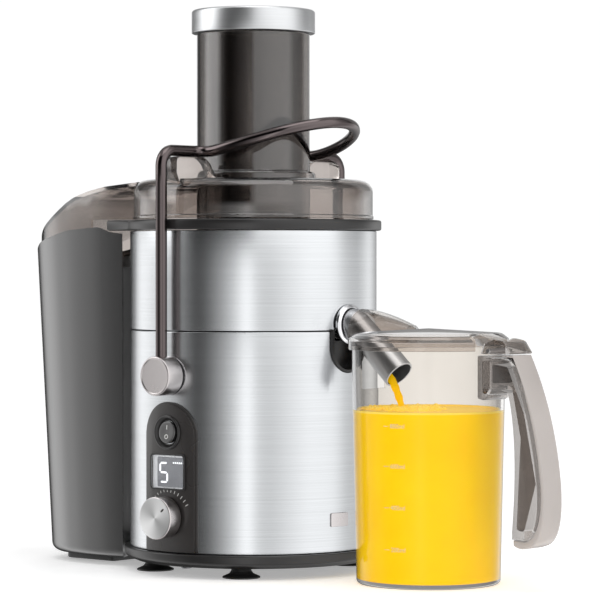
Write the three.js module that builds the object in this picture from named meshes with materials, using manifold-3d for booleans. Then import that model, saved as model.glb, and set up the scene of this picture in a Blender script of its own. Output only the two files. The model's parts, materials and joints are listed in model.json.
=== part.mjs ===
// A centrifugal juicer: motor base, bowl and basket, locked lid with feed chute and pusher,
// pulp container on the left (-X), spout and juice jug on the right (+X), controls in front (-Y).
// Millimetres, +Z up. The origin is on the table, under the middle of the whole machine.
import * as THREE from 'three';
import { mergeVertices } from 'three/addons/utils/BufferGeometryUtils.js';
import Module from 'manifold-3d';

const wasm = await Module();
wasm.setup();

// ---- Driving dimensions ----
const ROUND = 32; // sides of a large round piece
const MEDIUM = 16; // sides of a motor piece, a pipe or a button
const SMALL = 12; // sides of a small round piece
const GAP = 0.4; // clearance between pieces that touch

const FOOT_H = 8;
const BASE_TOP = 19;
const SEAM_Z = 188; // motor housing meets the bowl section
const RIM_Z = 265.5; // bowl section meets the black rim
const LID_Z = 274; // rim meets the lid
const LID_TOP = 305;
const CHUTE_TOP = 420;
const CAP_TOP = 439;
const BODY_R = 97;
const BASE_R = 102;
const RIM_R = 101;
const SKIN = 1.2; // steel sleeves
const WALL = 2.5; // moulded plastic
const CHUTE_R = 44.6;
const LID_R = 94;
const PUSHER_R = 41.3;
const CAP_R = 48.6;
const PUSHER_END = 262;

const CONTAINER_END = -205;
const CONTAINER_HALF = 78;
const CONTAINER_NEAR = -62;
const CONTAINER_CORNER = 63; // radius of the far corners in plan
const CONTAINER_RIM = 270; // highest point of the rim
const CONTAINER_LOW = 6.5;
const CONTAINER_DRAFT = 0.875; // size at the bottom over size at the rim
const CONTAINER_CLEAR_R = 103.5; // hollow of the near wall around the body
const NEAR_WALL_TOP = 237;
const HOOD_INSET = 4.2; // the lid's hood sits this far inside the container's outline

const SPOUT_Z = 193;
const SPOUT_R = 12;
const SPOUT_BORE_R = 10;
const SPOUT_TILT = THREE.MathUtils.degToRad(42);
const SPOUT_NECK_R = 10.5;
const SPOUT_CORNER_X = 104; // the pipe turns down here
const SPOUT_REACH = 57.5; // from the corner to the mouth

const JUG_X = 175;
const JUG_R = 58;
const JUG_BASE_R = 54;
const JUG_TOP = 178;
const HANDLE_OUT = 290;
const HINGE_X = 240; // pin between the jug's lid and its handle
const HINGE_Z = 175.5;
const HANDLE_TOP = 172.5;

const ARM_PIVOT_Z = 154;
const ARM_Y = 106;
const ARM_R = 4;
const ARM_BAR_Z = 326;
const ARM_LOOP_Z = 348;
const DISC_R = 15;

const PANEL_HALF_ANGLE = THREE.MathUtils.degToRad(15.8);
const PANEL_TOP = 134;
const SWITCH_Z = 110.6;
const WINDOW_Z = 80.5;
const DIAL_Z = 46;
const GLAND_Z = 30;
const PANEL_R = BODY_R + 2.4;

// the machine's axis, measured from the middle of the whole object
const AXIS_X = -(CONTAINER_END + HANDLE_OUT) / 2;

// ---- Shapes ----
// A closed outline turned about Z. Points are [radius, height].
function turned(points, sides = ROUND) {
  const profile = points.map(([r, z]) => new THREE.Vector2(r, z));
  if (THREE.ShapeUtils.area(profile) < 0) profile.reverse();
  if (profile[0].x > 0 || profile.at(-1).x > 0) profile.push(profile[0].clone());
  return new THREE.LatheGeometry(profile, sides).rotateX(Math.PI / 2);
}

function outline(points) {
  return new THREE.Shape(points.map(([x, y]) => new THREE.Vector2(x, y)));
}

// An outline in plan, raised from one height to another.
function raised(shape, low, high, curveSegments = 6) {
  const options = { depth: high - low, bevelEnabled: false, curveSegments };
  return new THREE.ExtrudeGeometry(shape, options).translate(0, 0, low);
}

// An outline in X and Z, of a width along Y, centred on the XZ plane.
function across(shape, width, curveSegments = 6) {
  const options = { depth: width, bevelEnabled: false, curveSegments };
  return new THREE.ExtrudeGeometry(shape, options).translate(0, 0, -width / 2).rotateX(Math.PI / 2);
}

function block(low, high) {
  const size = high.map((value, i) => value - low[i]);
  const middle = high.map((value, i) => (value + low[i]) / 2);
  return new THREE.BoxGeometry(...size).translate(...middle);
}

function rod(radius, low, high, sides = SMALL) {
  return turned([[0, low], [radius, low], [radius, high], [0, high]], sides);
}

function ring(inner, outer, low, high, sides = ROUND) {
  return turned([[inner, low], [outer, low], [outer, high], [inner, high]], sides);
}

// A piece made about Z is turned to point along X or along -Y (out of the front).
const alongX = (geometry) => geometry.rotateY(Math.PI / 2);
const outOfFront = (geometry) => geometry.rotateX(Math.PI / 2);

// ---- Booleans ----
function solid(geometry) {
  const bare = geometry.index ? geometry.clone() : geometry;
  bare.deleteAttribute('normal');
  bare.deleteAttribute('uv');
  const merged = mergeVertices(bare, 1e-4);
  const corners = [];
  for (let i = 0; i < merged.index.count; i += 3) {
    const [a, b, c] = [0, 1, 2].map((k) => merged.index.getX(i + k));
    if (a !== b && b !== c && c !== a) corners.push(a, b, c);
  }
  return new wasm.Manifold(new wasm.Mesh({
    numProp: 3,
    vertProperties: new Float32Array(merged.attributes.position.array),
    triVerts: new Uint32Array(corners),
  }));
}

function shapeOf(body) {
  const mesh = body.getMesh();
  const geometry = new THREE.BufferGeometry();
  geometry.setAttribute('position', new THREE.BufferAttribute(mesh.vertProperties, 3));
  geometry.setIndex(new THREE.BufferAttribute(mesh.triVerts, 1));
  return geometry;
}

const joined = (...pieces) => pieces.map(solid).reduce((whole, piece) => whole.add(piece));
const cut = (body, ...cutters) => cutters.reduce((left, cutter) => left.subtract(solid(cutter)), body);

// ---- The assembly ----
const machine = new THREE.Group();
machine.position.set(AXIS_X, 0, 0);

function add(name, geometry, color, roughness, metalness) {
  const shape = geometry.isBufferGeometry ? geometry : shapeOf(geometry);
  const bare = shape.index ? shape.toNonIndexed() : shape;
  const material = new THREE.MeshStandardMaterial({ color, roughness, metalness });
  const mesh = new THREE.Mesh(mergeVertices(bare, 1e-4), material);
  mesh.name = name;
  machine.add(mesh);
  return mesh;
}

const STEEL = ['#b9babc', 0.32, 1];
const DARK_CHROME = ['#8d8583', 0.15, 1];
const BRIGHT = ['#d9dadc', 0.15, 1];
const BLACK = ['#1d1b1b', 0.5, 0];
const CHARCOAL = ['#3a3634', 0.45, 0];
const SMOKE = ['#6f6660', 0.12, 0];
const COPPER = ['#b06a3a', 0.4, 1];
const IRON = ['#6d7074', 0.5, 1];
const RUBBER = ['#141414', 0.8, 0];

// ---- Feet and base cover ----
const FOOT_PLACES = [[45, -65], [45, 65], [-45, 65], [-45, -65]];
const SCREW_PLACES = [[70, 0], [0, 78], [-70, 0], [0, -78]];
const SCREW_R = 2;
const SCREW_HEAD_R = 4;

for (const [i, [x, y]] of FOOT_PLACES.entries()) {
  const foot = turned([
    [0, 0], [14.5, 0], [14.5, 3.5], [8, 5.5], [8, FOOT_H - GAP], [0, FOOT_H - GAP],
  ], SMALL);
  add(`foot_${i + 1}`, foot.translate(x, y, 0), ...RUBBER);
}

const baseDish = solid(turned([
  [0, FOOT_H], [92, FOOT_H], [99, 10], [BASE_R, 13], [BASE_R, BASE_TOP - GAP],
  [93, BASE_TOP - GAP], [93, 11], [0, 11],
]));
const screwHoles = SCREW_PLACES.map(([x, y]) => rod(SCREW_R + GAP, 0, 30, 8).translate(x, y, 0));
add('base_cover', cut(baseDish, ...screwHoles), ...BLACK);

for (const [i, [x, y]] of SCREW_PLACES.entries()) {
  const screw = turned([
    [0, 5.4], [SCREW_HEAD_R, 5.4], [SCREW_HEAD_R, FOOT_H - GAP], [SCREW_R, FOOT_H - GAP],
    [SCREW_R, 19], [0, 19],
  ], 8);
  add(`base_screw_${i + 1}`, screw.translate(x, y, 0), ...IRON);
}

// ---- Motor housing: steel sleeve over a moulded chassis ----
const NOTCH_HALF = 19.5;
const NOTCH_Z = 175; // centre of the round bottom of the spout notch
const BUSH_R = 9;

function notchCutter(half) {
  const round = alongX(rod(half, 60, 140, MEDIUM)).translate(0, 0, NOTCH_Z);
  return [round, block([60, -half, NOTCH_Z], [140, half, SEAM_Z + 20])];
}

const bushHoles = alongY(rod(BUSH_R + GAP, -120, 120)).translate(0, 0, ARM_PIVOT_Z);

function alongY(geometry) {
  return geometry.rotateX(Math.PI / 2);
}

const switchHole = alongY(rod(11.6, 70, 120)).translate(0, 0, SWITCH_Z);
const windowHole = block([-17, -120, WINDOW_Z - 13], [17, -70, WINDOW_Z + 13]);
const dialHole = alongY(rod(4, 70, 120)).translate(0, 0, DIAL_Z);
const glandHole = alongY(rod(7 + GAP, -120, -70)).translate(0, 0, GLAND_Z);
const panelHoles = [switchHole, windowHole, dialHole];

const sleeve = solid(ring(BODY_R - SKIN, BODY_R, BASE_TOP, SEAM_Z - GAP));
add('motor_housing', cut(
  sleeve, ...notchCutter(NOTCH_HALF), bushHoles, glandHole, ...panelHoles,
), ...STEEL);

const DECK_Z = 176;
const CHASSIS_R = BODY_R - SKIN - GAP;
const SHAFT_HOLE_R = 16;
const chassis = solid(turned([
  [CHASSIS_R - WALL, BASE_TOP], [CHASSIS_R, BASE_TOP], [CHASSIS_R, SEAM_Z - 2], [CHASSIS_R - 4, SEAM_Z - 2],
  [CHASSIS_R - 6, DECK_Z + WALL], [SHAFT_HOLE_R + 8, DECK_Z + WALL], [SHAFT_HOLE_R + 8, DECK_Z + 7],
  [SHAFT_HOLE_R, DECK_Z + 7], [SHAFT_HOLE_R, DECK_Z], [CHASSIS_R - WALL, DECK_Z],
]));
add('motor_chassis', cut(
  chassis, ...notchCutter(NOTCH_HALF + 0.2), bushHoles, glandHole, ...panelHoles,
), ...CHARCOAL);

// the black liner of the notch under the spout
const liner = solid(alongX(rod(NOTCH_HALF - GAP, 84, 97.5, MEDIUM)).translate(0, 0, NOTCH_Z))
  .add(solid(block([84, -(NOTCH_HALF - GAP), NOTCH_Z], [97.5, NOTCH_HALF - GAP, SEAM_Z - GAP])));
const linerBore = notchCutter(NOTCH_HALF - 3).map((piece) => piece.translate(27, 0, 0));
const bossHole = alongX(rod(SPOUT_R + 1, 60, 140, MEDIUM)).translate(0, 0, SPOUT_Z);
add('spout_saddle', cut(liner, ...linerBore, bossHole), ...BLACK);

// ---- Motor: stator, rotor, shaft, bearings, brushes and fan ----
const SHAFT_R = 4;
add('motor_shaft', rod(SHAFT_R, 26, 204, 12), ...IRON);
add('motor_bracket', turned([
  [7, 22], [60, 22], [60, 26], [14, 26], [14, 37], [7, 37], [7, 34], [11.5, 34], [11.5, 26.5], [7, 26.5],
], MEDIUM), ...IRON);
add('lower_bearing', ring(SHAFT_R + 0.2, 11, 27, 33.5, MEDIUM), ...BRIGHT);
add('cooling_fan', turned([
  [SHAFT_R + 0.3, 46], [46, 46], [46, 48], [12, 48], [12, 60], [SHAFT_R + 0.3, 60],
], MEDIUM), ...BLACK);
add('commutator', ring(SHAFT_R + 0.3, 14, 66, 80, MEDIUM), ...COPPER);
const BRUSH_IN = 14.6;
const BRUSH_OUT = 34;
for (const [i, side] of [-1, 1].entries()) {
  const ends = [side * BRUSH_IN, side * BRUSH_OUT].sort((a, b) => a - b);
  add(`carbon_brush_${i + 1}`, block([ends[0], -4, 69], [ends[1], 4, 77]), ...RUBBER);
}
add('motor_rotor', ring(SHAFT_R + 0.3, 27, 86, 136, MEDIUM), ...IRON);
add('motor_stator', ring(28.5, 52, 88, 134, MEDIUM), ...IRON);
add('stator_winding', ring(30, 46, 134.5, 144, MEDIUM), ...COPPER);
add('upper_bearing', ring(SHAFT_R + 0.2, 11, 152, 159, MEDIUM), ...BRIGHT);
add('motor_top_bracket', turned([
  [11.4, 151], [15, 151], [15, 160], [52, 160], [52, 164], [7, 164], [7, 159.6], [11.4, 159.6],
], MEDIUM), ...IRON);
add('shaft_seal', ring(SHAFT_R + 0.2, SHAFT_HOLE_R - GAP, 176.5, 182, MEDIUM), ...RUBBER);
add('drive_coupling', turned([
  [SHAFT_R + 0.3, 184], [13, 184], [13, 206], [0, 206], [0, 204.4], [SHAFT_R + 0.3, 204.4],
], 12), ...CHARCOAL);

// ---- Control panel, switch, window and dial ----
function bent(shape, inner, outer) {
  const band = solid(ring(inner, outer, 0, SEAM_Z, 48));
  const front = solid(raised(shape, 60, 130).rotateX(Math.PI / 2));
  return band.intersect(front);
}

const panelHalf = Math.sin(PANEL_HALF_ANGLE) * BODY_R;
function archShape(half, low, top) {
  const shape = new THREE.Shape();
  shape.moveTo(-half, low);
  shape.lineTo(half, low);
  shape.lineTo(half, top - half);
  shape.absarc(0, top - half, half, 0, Math.PI, false);
  return shape;
}

const ROCKER_PIVOT_Y = 96;
const ROCKER_REST = THREE.MathUtils.degToRad(-6); // pressed to its on side
const DIAL_R = 16.3;
const DIAL_FACE_Y = -113.6;
add('control_panel', cut(
  bent(archShape(panelHalf, BASE_TOP + 0.6, PANEL_TOP), BODY_R + 0.3, PANEL_R), ...panelHoles,
), ...CHARCOAL);

const front = (geometry, z) => outOfFront(geometry).translate(0, 0, z);
add('switch_bezel', front(ring(8.6, 11, 88, PANEL_R + 1.4, MEDIUM), SWITCH_Z), ...BLACK);
const rocker = outOfFront(rod(7.8, 93, PANEL_R + 1, MEDIUM)).translate(0, ROCKER_PIVOT_Y, 0)
  .rotateX(ROCKER_REST).translate(0, -ROCKER_PIVOT_Y, SWITCH_Z);
add('switch_rocker', rocker, ...CHARCOAL);
add('display_window', block(
  [-16.5, -PANEL_R - 0.4, WINDOW_Z - 12.5], [16.5, -PANEL_R + 1.6, WINDOW_Z + 12.5],
), ...SMOKE);
add('display_module', block([-16, -95, WINDOW_Z - 12], [16, -90, WINDOW_Z + 12]), ...BRIGHT);
add('dial_knob', front(turned([
  [0, PANEL_R + 2.6], [DIAL_R, PANEL_R + 0.8], [DIAL_R, -DIAL_FACE_Y - 1], [DIAL_R - 1, -DIAL_FACE_Y],
  [0, -DIAL_FACE_Y],
], 32), DIAL_Z), ...BRIGHT);
add('dial_shaft', front(rod(3, 89, PANEL_R + 2.2, 10), DIAL_Z), ...IRON);
add('speed_encoder', front(rod(10, 80, 88.6, 12), DIAL_Z), ...BLACK);
add('circuit_board', block([-24, -78, 34], [24, -76, 130]), ...['#2f5a3c', 0.6, 0]);
const BADGE_ANGLE = THREE.MathUtils.degToRad(-6);
const badge = bent(outline([[-9, 38], [9, 38], [9, 49], [-9, 49]]), BODY_R + 0.3, BODY_R + 1.2);
add('badge_plate', shapeOf(badge).rotateZ(Math.PI / 2 + BADGE_ANGLE), ...STEEL);
add('cord_gland', turned([
  [4, 88], [7, 88], [7, 97.5], [10, 97.5], [10, 101], [8, 108], [4, 108],
], MEDIUM).rotateX(-Math.PI / 2).translate(0, 0, GLAND_Z), ...RUBBER);

// ---- Bowl section: steel surround, juice bowl, basket and grater ----
const SURROUND_IN = BODY_R - SKIN;
const surround = solid(ring(SURROUND_IN, BODY_R, SEAM_Z + 0.5, RIM_Z - GAP));
add('bowl_surround', cut(surround, bossHole), ...STEEL);

const BOWL_R = SURROUND_IN - GAP;
const bowlWall = turned([
  [15, 194], [30, 194], [30, 191], [BOWL_R, 191], [BOWL_R, RIM_Z - GAP], [BOWL_R - WALL, RIM_Z - GAP],
  [BOWL_R - WALL, 194], [33, 194], [33, 216], [20, 222], [17, 222], [17, 214], [15, 214],
]);
const bowlBoss = alongX(rod(SPOUT_R, 84, 97.6, MEDIUM)).translate(0, 0, SPOUT_Z);
const bowlBore = alongX(rod(SPOUT_BORE_R - 2, 80, 140, MEDIUM)).translate(0, 0, SPOUT_Z + 2);
add('juice_bowl', cut(joined(bowlWall, bowlBoss), bowlBore), ...SMOKE);

const rimShape = new THREE.Shape();
const WING_X = -84;
rimShape.moveTo(-40, -92.8);
rimShape.absarc(0, 0, RIM_R, -Math.PI * 0.7, Math.PI * 0.7, false);
rimShape.lineTo(WING_X, 79);
rimShape.lineTo(WING_X, -79);
const rimPlate = solid(raised(rimShape, RIM_Z, LID_Z - GAP, 16));
const rimBore = rod(BOWL_R - WALL - 0.4, RIM_Z - 20, LID_Z + 20, ROUND);
const pulpWay = block([-120, -70, RIM_Z - 20], [-60, 70, LID_Z + 20]);
add('bowl_rim', cut(rimPlate, rimBore, pulpWay), ...BLACK);

const BASKET_R = 84;
add('filter_basket', turned([
  [48, 234], [50, 234], [BASKET_R, 258], [BASKET_R + 3, 258], [BASKET_R + 3, 262], [BASKET_R - 2, 262],
  [48.4, 236.6], [15, 236.6], [15, 233], [48, 233],
]), ...STEEL);
add('basket_hub', turned([
  [13.4, 207], [14.2, 207], [14.2, 232.6], [0, 232.6], [0, 207.6], [13.4, 207.6],
], 12), ...CHARCOAL);
add('grating_disc', turned([[0, 237.2], [46, 237.2], [46, 238.6], [4, 240.5], [0, 240.5]], 24), ...BRIGHT);

// ---- Spout: flange on the body, then a bent steel pipe ----


class KeyedPath extends THREE.CatmullRomCurve3 {
  getSpacedPoints(divisions) {
    return this.getPoints(divisions);
  }

  getTangentAt(u, target) {
    return this.getTangent(u, target);
  }
}

// A round bar through the given points, one section at each point.
function wire(points, radius, sides) {
  const corners = Array.from({ length: sides }, (_, i) => {
    const angle = (Math.PI * 2 * i) / sides;
    return [radius * Math.cos(angle), radius * Math.sin(angle)];
  });
  const path = new KeyedPath(points, false, 'catmullrom', 0.5);
  return new THREE.ExtrudeGeometry(outline(corners), {
    extrudePath: path, steps: points.length - 1, bevelEnabled: false,
  });
}

// Points on an arc in the plane of two directions, from angle 0 to the sweep.
function arc(centre, from, towards, radius, sweep, steps) {
  return Array.from({ length: steps + 1 }, (_, i) => {
    const angle = (sweep * i) / steps;
    return centre.clone()
      .addScaledVector(from, radius * Math.cos(angle))
      .addScaledVector(towards, radius * Math.sin(angle));
  });
}

const X = new THREE.Vector3(1, 0, 0);
const Y = new THREE.Vector3(0, 1, 0);
const Z = new THREE.Vector3(0, 0, 1);

// A piece made about Z is laid along the sloping pipe, from the corner.
function downSpout(geometry) {
  return geometry.rotateY(Math.PI / 2 + SPOUT_TILT).translate(SPOUT_CORNER_X, 0, SPOUT_Z);
}

function spoutShape(radius, neckRadius, startX, reach) {
  const neck = alongX(rod(neckRadius, startX, SPOUT_CORNER_X, MEDIUM)).translate(0, 0, SPOUT_Z);
  const elbow = new THREE.SphereGeometry(radius, MEDIUM, 8).translate(SPOUT_CORNER_X, 0, SPOUT_Z);
  return joined(neck, elbow, downSpout(rod(radius, 0, reach, MEDIUM)));
}

const spoutBore = spoutShape(SPOUT_BORE_R, SPOUT_NECK_R - 1.5, 90, SPOUT_REACH + 4);
const flange = solid(alongX(ring(SPOUT_R + 0.7, 15.5, 98.2, 101, MEDIUM)).translate(0, 0, SPOUT_Z));
add('spout_flange', cut(flange, downSpout(rod(SPOUT_R + GAP, 0, 30, MEDIUM))), ...BRIGHT);
const bodyFace = block([60, -20, SPOUT_Z - 20], [98, 20, SPOUT_Z + 20]);
add('juice_spout', cut(
  spoutShape(SPOUT_R, SPOUT_NECK_R, 98, SPOUT_REACH).subtract(spoutBore), bodyFace,
), ...STEEL);

// ---- Lid with feed chute and the hood over the pulp container ----
// The container's outline in plan, or one inside it. The near side is straight.
function containerPlan(inset, near = CONTAINER_NEAR - inset) {
  const far = CONTAINER_END + inset;
  const wide = CONTAINER_HALF - inset;
  const corner = CONTAINER_CORNER - inset;
  const shape = new THREE.Shape();
  shape.moveTo(near, -wide);
  shape.lineTo(near, wide);
  shape.lineTo(far + corner, wide);
  shape.absarc(far + corner, wide - corner, corner, Math.PI / 2, Math.PI, false);
  shape.absarc(far + corner, -wide + corner, corner, Math.PI, Math.PI * 1.5, false);
  return shape;
}

const HOOD_NEAR = -46; // the hood's near end, inside the dome
// the hood's top falls from the dome to the far end: [x, height]
const HOOD_TOP = [[-60, 304], [-94, 300.4], [-125, 292.8], [-146, 282.4], [-170, 270], [-188, 260]];
const HOOD_END_Z = 249;
const HOOD_EDGE_X = -107; // its lower edge reaches into the container beyond here
const HOOD_EDGE_Z = 243;
const BELOW_HOOD = 200;
function hoodShape(inset) {
  const shape = new THREE.Shape();
  const end = CONTAINER_END + HOOD_INSET + inset;
  shape.moveTo(HOOD_NEAR, LID_TOP - 1 - inset);
  for (const [x, z] of HOOD_TOP) shape.lineTo(x, z - inset);
  shape.lineTo(end, HOOD_END_Z - inset);
  shape.lineTo(end, inset ? BELOW_HOOD : HOOD_EDGE_Z);
  if (!inset) shape.lineTo(HOOD_EDGE_X, 262);
  shape.lineTo(HOOD_EDGE_X, inset ? BELOW_HOOD : LID_Z + GAP);
  shape.lineTo(HOOD_NEAR, inset ? BELOW_HOOD : LID_Z + GAP);
  return shape;
}

const lidDome = turned([
  [LID_R, LID_Z + GAP], [LID_R, 296], [91, 302], [86, LID_TOP], [CHUTE_R + 4, LID_TOP],
  [CHUTE_R + 4, 311], [CHUTE_R, 313], [CHUTE_R, CHUTE_TOP], [PUSHER_R + 0.8, CHUTE_TOP],
  [PUSHER_R + 0.8, 246], [CHUTE_R, 246], [CHUTE_R, LID_TOP - WALL], [85, LID_TOP - WALL],
  [LID_R - WALL, 295], [LID_R - WALL, LID_Z + GAP],
]);
const hoodPlan = (inset) => solid(raised(containerPlan(HOOD_INSET + inset, HOOD_NEAR), 190, 320));
const hood = solid(across(hoodShape(0), 200)).intersect(hoodPlan(0));
const hoodRoom = solid(across(hoodShape(WALL), 200)).intersect(hoodPlan(WALL));
const ribProfile = outline([
  [-97, LID_TOP - 1], [-97, 316], [-90, ARM_BAR_Z - ARM_R - 0.6], [-62, ARM_BAR_Z - ARM_R - 0.6],
  [-50, 313], [-50, LID_TOP - 1],
]);
const rib = new THREE.ExtrudeGeometry(ribProfile, { depth: 16, bevelEnabled: false })
  .translate(0, 0, -8).rotateX(Math.PI / 2).rotateZ(Math.PI / 2);
const domeRoom = turned([
  [CHUTE_R, BELOW_HOOD], [LID_R - WALL, BELOW_HOOD], [LID_R - WALL, 295], [85, LID_TOP - WALL],
  [CHUTE_R, LID_TOP - WALL],
]);
const lidBody = solid(lidDome).add(cut(hood, domeRoom)).subtract(hoodRoom).add(solid(rib))
  .add(solid(rib.clone().rotateZ(Math.PI)));
add('juicer_lid', lidBody, ...SMOKE);

add('food_pusher', turned([
  [0, PUSHER_END], [PUSHER_R, PUSHER_END], [PUSHER_R, CHUTE_TOP], [PUSHER_R - WALL, CHUTE_TOP],
  [PUSHER_R - WALL, PUSHER_END + WALL], [0, PUSHER_END + WALL],
]), ...SMOKE);
add('pusher_cap', turned([
  [0, CHUTE_TOP + 0.5], [CAP_R, CHUTE_TOP + 0.5], [CAP_R, CAP_TOP - 2], [CAP_R - 2, CAP_TOP - 0.6],
  [0, CAP_TOP],
]), ...STEEL);

// ---- Locking arm: one bent wire with a disc at each pivot ----
const BAR_BEND = 12;
const LOOP_BEND = 10;
const LOOP_HALF = 62;
const LOOP_REACH = 78;

function armHalf() {
  const legFoot = new THREE.Vector3(0, -ARM_Y, ARM_PIVOT_Z + 2);
  const shoulderAt = new THREE.Vector3(0, -ARM_Y + BAR_BEND, ARM_BAR_Z - BAR_BEND);
  const shoulder = arc(shoulderAt, Y.clone().negate(), Z, BAR_BEND, Math.PI / 2, 4);
  const cornerAt = new THREE.Vector3(LOOP_BEND, -LOOP_HALF - LOOP_BEND, ARM_BAR_Z);
  const corner = arc(cornerAt, X.clone().negate(), Y, LOOP_BEND, Math.PI / 2, 3);
  const loop = [];
  for (let i = 1; i <= 7; i += 1) {
    const angle = (Math.PI / 2) * (i / 7);
    const rise = Math.sin(angle) ** 1.3;
    loop.push(new THREE.Vector3(
      LOOP_BEND + LOOP_REACH * Math.sin(angle), -LOOP_HALF * Math.cos(angle),
      ARM_BAR_Z + (ARM_LOOP_Z - ARM_BAR_Z) * rise));
  }
  return [legFoot, ...shoulder, ...corner, ...loop];
}

const half = armHalf();
const otherHalf = half.slice(0, -1).reverse().map((p) => new THREE.Vector3(p.x, -p.y, p.z));
add('locking_arm', wire([...half, ...otherHalf], ARM_R, 8), ...DARK_CHROME);

const PIN_R = 4.5;
const DISC_IN = 97.6;
const DISC_OUT = 114;
const SOCKET_OUT = 101;
for (const [name, side] of [['front', -1], ['back', 1]]) {
  const facing = (geometry) => geometry.rotateX(side < 0 ? Math.PI / 2 : -Math.PI / 2)
    .translate(0, 0, ARM_PIVOT_Z);
  const disc = solid(facing(turned([
    [0, DISC_IN], [DISC_R, DISC_IN], [DISC_R, DISC_OUT - 1], [DISC_R - 1, DISC_OUT], [0, DISC_OUT],
  ], MEDIUM)));
  const legSocket = rod(ARM_R + GAP, ARM_PIVOT_Z + 1, 200, 12).translate(0, side * ARM_Y, 0);
  const pinSocket = facing(rod(PIN_R + GAP, 90, SOCKET_OUT, 12));
  add(`arm_disc_${name}`, cut(disc, legSocket, pinSocket), ...BRIGHT);
  add(`pivot_pin_${name}`, facing(rod(PIN_R, 84, SOCKET_OUT - GAP, 12)), ...IRON);
  add(`pivot_bush_${name}`, facing(ring(PIN_R + GAP, BUSH_R, 86, 97, MEDIUM)), ...BLACK);
}

// ---- Pulp container ----
// The plan raised and drawn in towards the bottom, about a line near the body.
const DRAFT_LINE_X = -100;
function tapered(shape, low, high) {
  const geometry = raised(shape, low, high, 5);
  const place = geometry.attributes.position;
  for (let i = 0; i < place.count; i += 1) {
    const down = (CONTAINER_RIM - place.getZ(i)) / (CONTAINER_RIM - CONTAINER_LOW);
    const size = 1 - (1 - CONTAINER_DRAFT) * down;
    place.setX(i, DRAFT_LINE_X + (place.getX(i) - DRAFT_LINE_X) * size);
    place.setY(i, place.getY(i) * size);
  }
  return geometry;
}

const rimLine = outline([
  [-260, 230], [CONTAINER_END, 245], [-170, 257.5], [-130, 266], [-97, 268.5], [-88, 266], [-85, 264.5],
  [-67, 262], [-40, 262], [-40, 300], [-260, 300],
]);
const bodyRoom = (radius) => rod(radius, -10, 320, 48);
const outerShell = cut(
  solid(tapered(containerPlan(0), CONTAINER_LOW, CONTAINER_RIM)), bodyRoom(CONTAINER_CLEAR_R),
);
const innerRoom = cut(
  solid(tapered(containerPlan(WALL), CONTAINER_LOW + WALL, CONTAINER_RIM + 30)),
  bodyRoom(CONTAINER_CLEAR_R + WALL),
);
const HOOD_HALF = CONTAINER_HALF - HOOD_INSET + 1;
const nearOpening = block([-150, -HOOD_HALF, NEAR_WALL_TOP], [-40, HOOD_HALF, 300]);
const FOOT_HALF = 45;
const containerFoot = solid(block([-165, -FOOT_HALF, 1], [-110, FOOT_HALF, CONTAINER_LOW + 1]));
add('pulp_container', cut(
  outerShell.subtract(innerRoom), across(rimLine, 300), nearOpening,
).add(containerFoot), ...CHARCOAL);

// ---- Juice jug: beaker, handle, lid and its hinge pin ----
const JUG_WALL = 2.5;
const JUG_FLOOR = 3;
const SPOUT_WAY = 15;
const SPOUT_WAY_Z = 143;
const spoutWay = block([-70, -SPOUT_WAY, SPOUT_WAY_Z], [-40, SPOUT_WAY, 220]);
const beaker = cut(solid(turned([
  [0, 0], [JUG_BASE_R, 0], [JUG_R, JUG_TOP], [JUG_R - JUG_WALL, JUG_TOP],
  [JUG_BASE_R - JUG_WALL, JUG_FLOOR], [0, JUG_FLOOR],
])), spoutWay);
add('jug_body', shapeOf(beaker).translate(JUG_X, 0, 0), ...SMOKE);

const HANDLE_WIDTH = 28;
const HANDLE_IN = JUG_X + 60.5; // the handle's root, clear of the beaker
const handleShape = new THREE.Shape();
handleShape.moveTo(HANDLE_IN, HANDLE_TOP);
handleShape.lineTo(HANDLE_IN, 148);
handleShape.lineTo(266, 146);
handleShape.quadraticCurveTo(271, 100, 267, 40);
handleShape.quadraticCurveTo(270, 34, 278, 36);
handleShape.quadraticCurveTo(HANDLE_OUT, 62, HANDLE_OUT, 96);
handleShape.quadraticCurveTo(HANDLE_OUT, 150, 268, HANDLE_TOP);
const handleBar = solid(across(handleShape, HANDLE_WIDTH, 5));
add('jug_handle', handleBar, ...CHARCOAL);

const lidCover = solid(turned([
  [JUG_R + 0.6, 175], [JUG_R + 2.4, 175], [JUG_R + 2.4, 183], [JUG_R - 2, 188], [0, 191], [0, 188.6],
  [JUG_R - 3, 185.8], [JUG_R + 0.6, 181],
]));
const HOOD_ARCH = 19; // the half round hood over the spout
const HOOD_Z = 186.5;
const HOOD_FROM = -63; // from the jug's axis
const HOOD_TO = -24;
const HOOD_ROOM_TO = HOOD_TO - 3;
const LUG_HALF = 10;
const archway = new THREE.Shape();
archway.absarc(0, HOOD_Z, HOOD_ARCH, 0, Math.PI, false);
const archRoom = new THREE.Shape();
archRoom.absarc(0, HOOD_Z, HOOD_ARCH - 2, 0, Math.PI, false);
const toX = (geometry) => geometry.rotateX(Math.PI / 2).rotateZ(Math.PI / 2);
const runOf = (shape, from, to) => toX(new THREE.ExtrudeGeometry(shape, {
  depth: to - from, bevelEnabled: false, curveSegments: 10,
})).translate(from, 0, 0);
const spoutHood = solid(runOf(archway, HOOD_FROM, HOOD_TO))
  .subtract(solid(block([HOOD_FROM - 7, -30, 150], [0, 30, HOOD_Z])));
const underHood = block([-80, -HOOD_ARCH + 2, 150], [HOOD_ROOM_TO, HOOD_ARCH - 2, HOOD_Z + 0.5]);
const handleRoom = block([JUG_R - 0.4, -18, 160], [90, 18, 186]);
const hingeLug = block(
  [JUG_R - 4, -LUG_HALF, HINGE_Z + 3.1], [HINGE_X - JUG_X + 1.5, LUG_HALF, HINGE_Z + 8],
);
const jugLid = cut(
  lidCover.add(spoutHood), runOf(archRoom, -80, HOOD_ROOM_TO), underHood, handleRoom,
).add(solid(hingeLug));
add('jug_lid', shapeOf(jugLid).translate(JUG_X, 0, 0), ...SMOKE);
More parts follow.
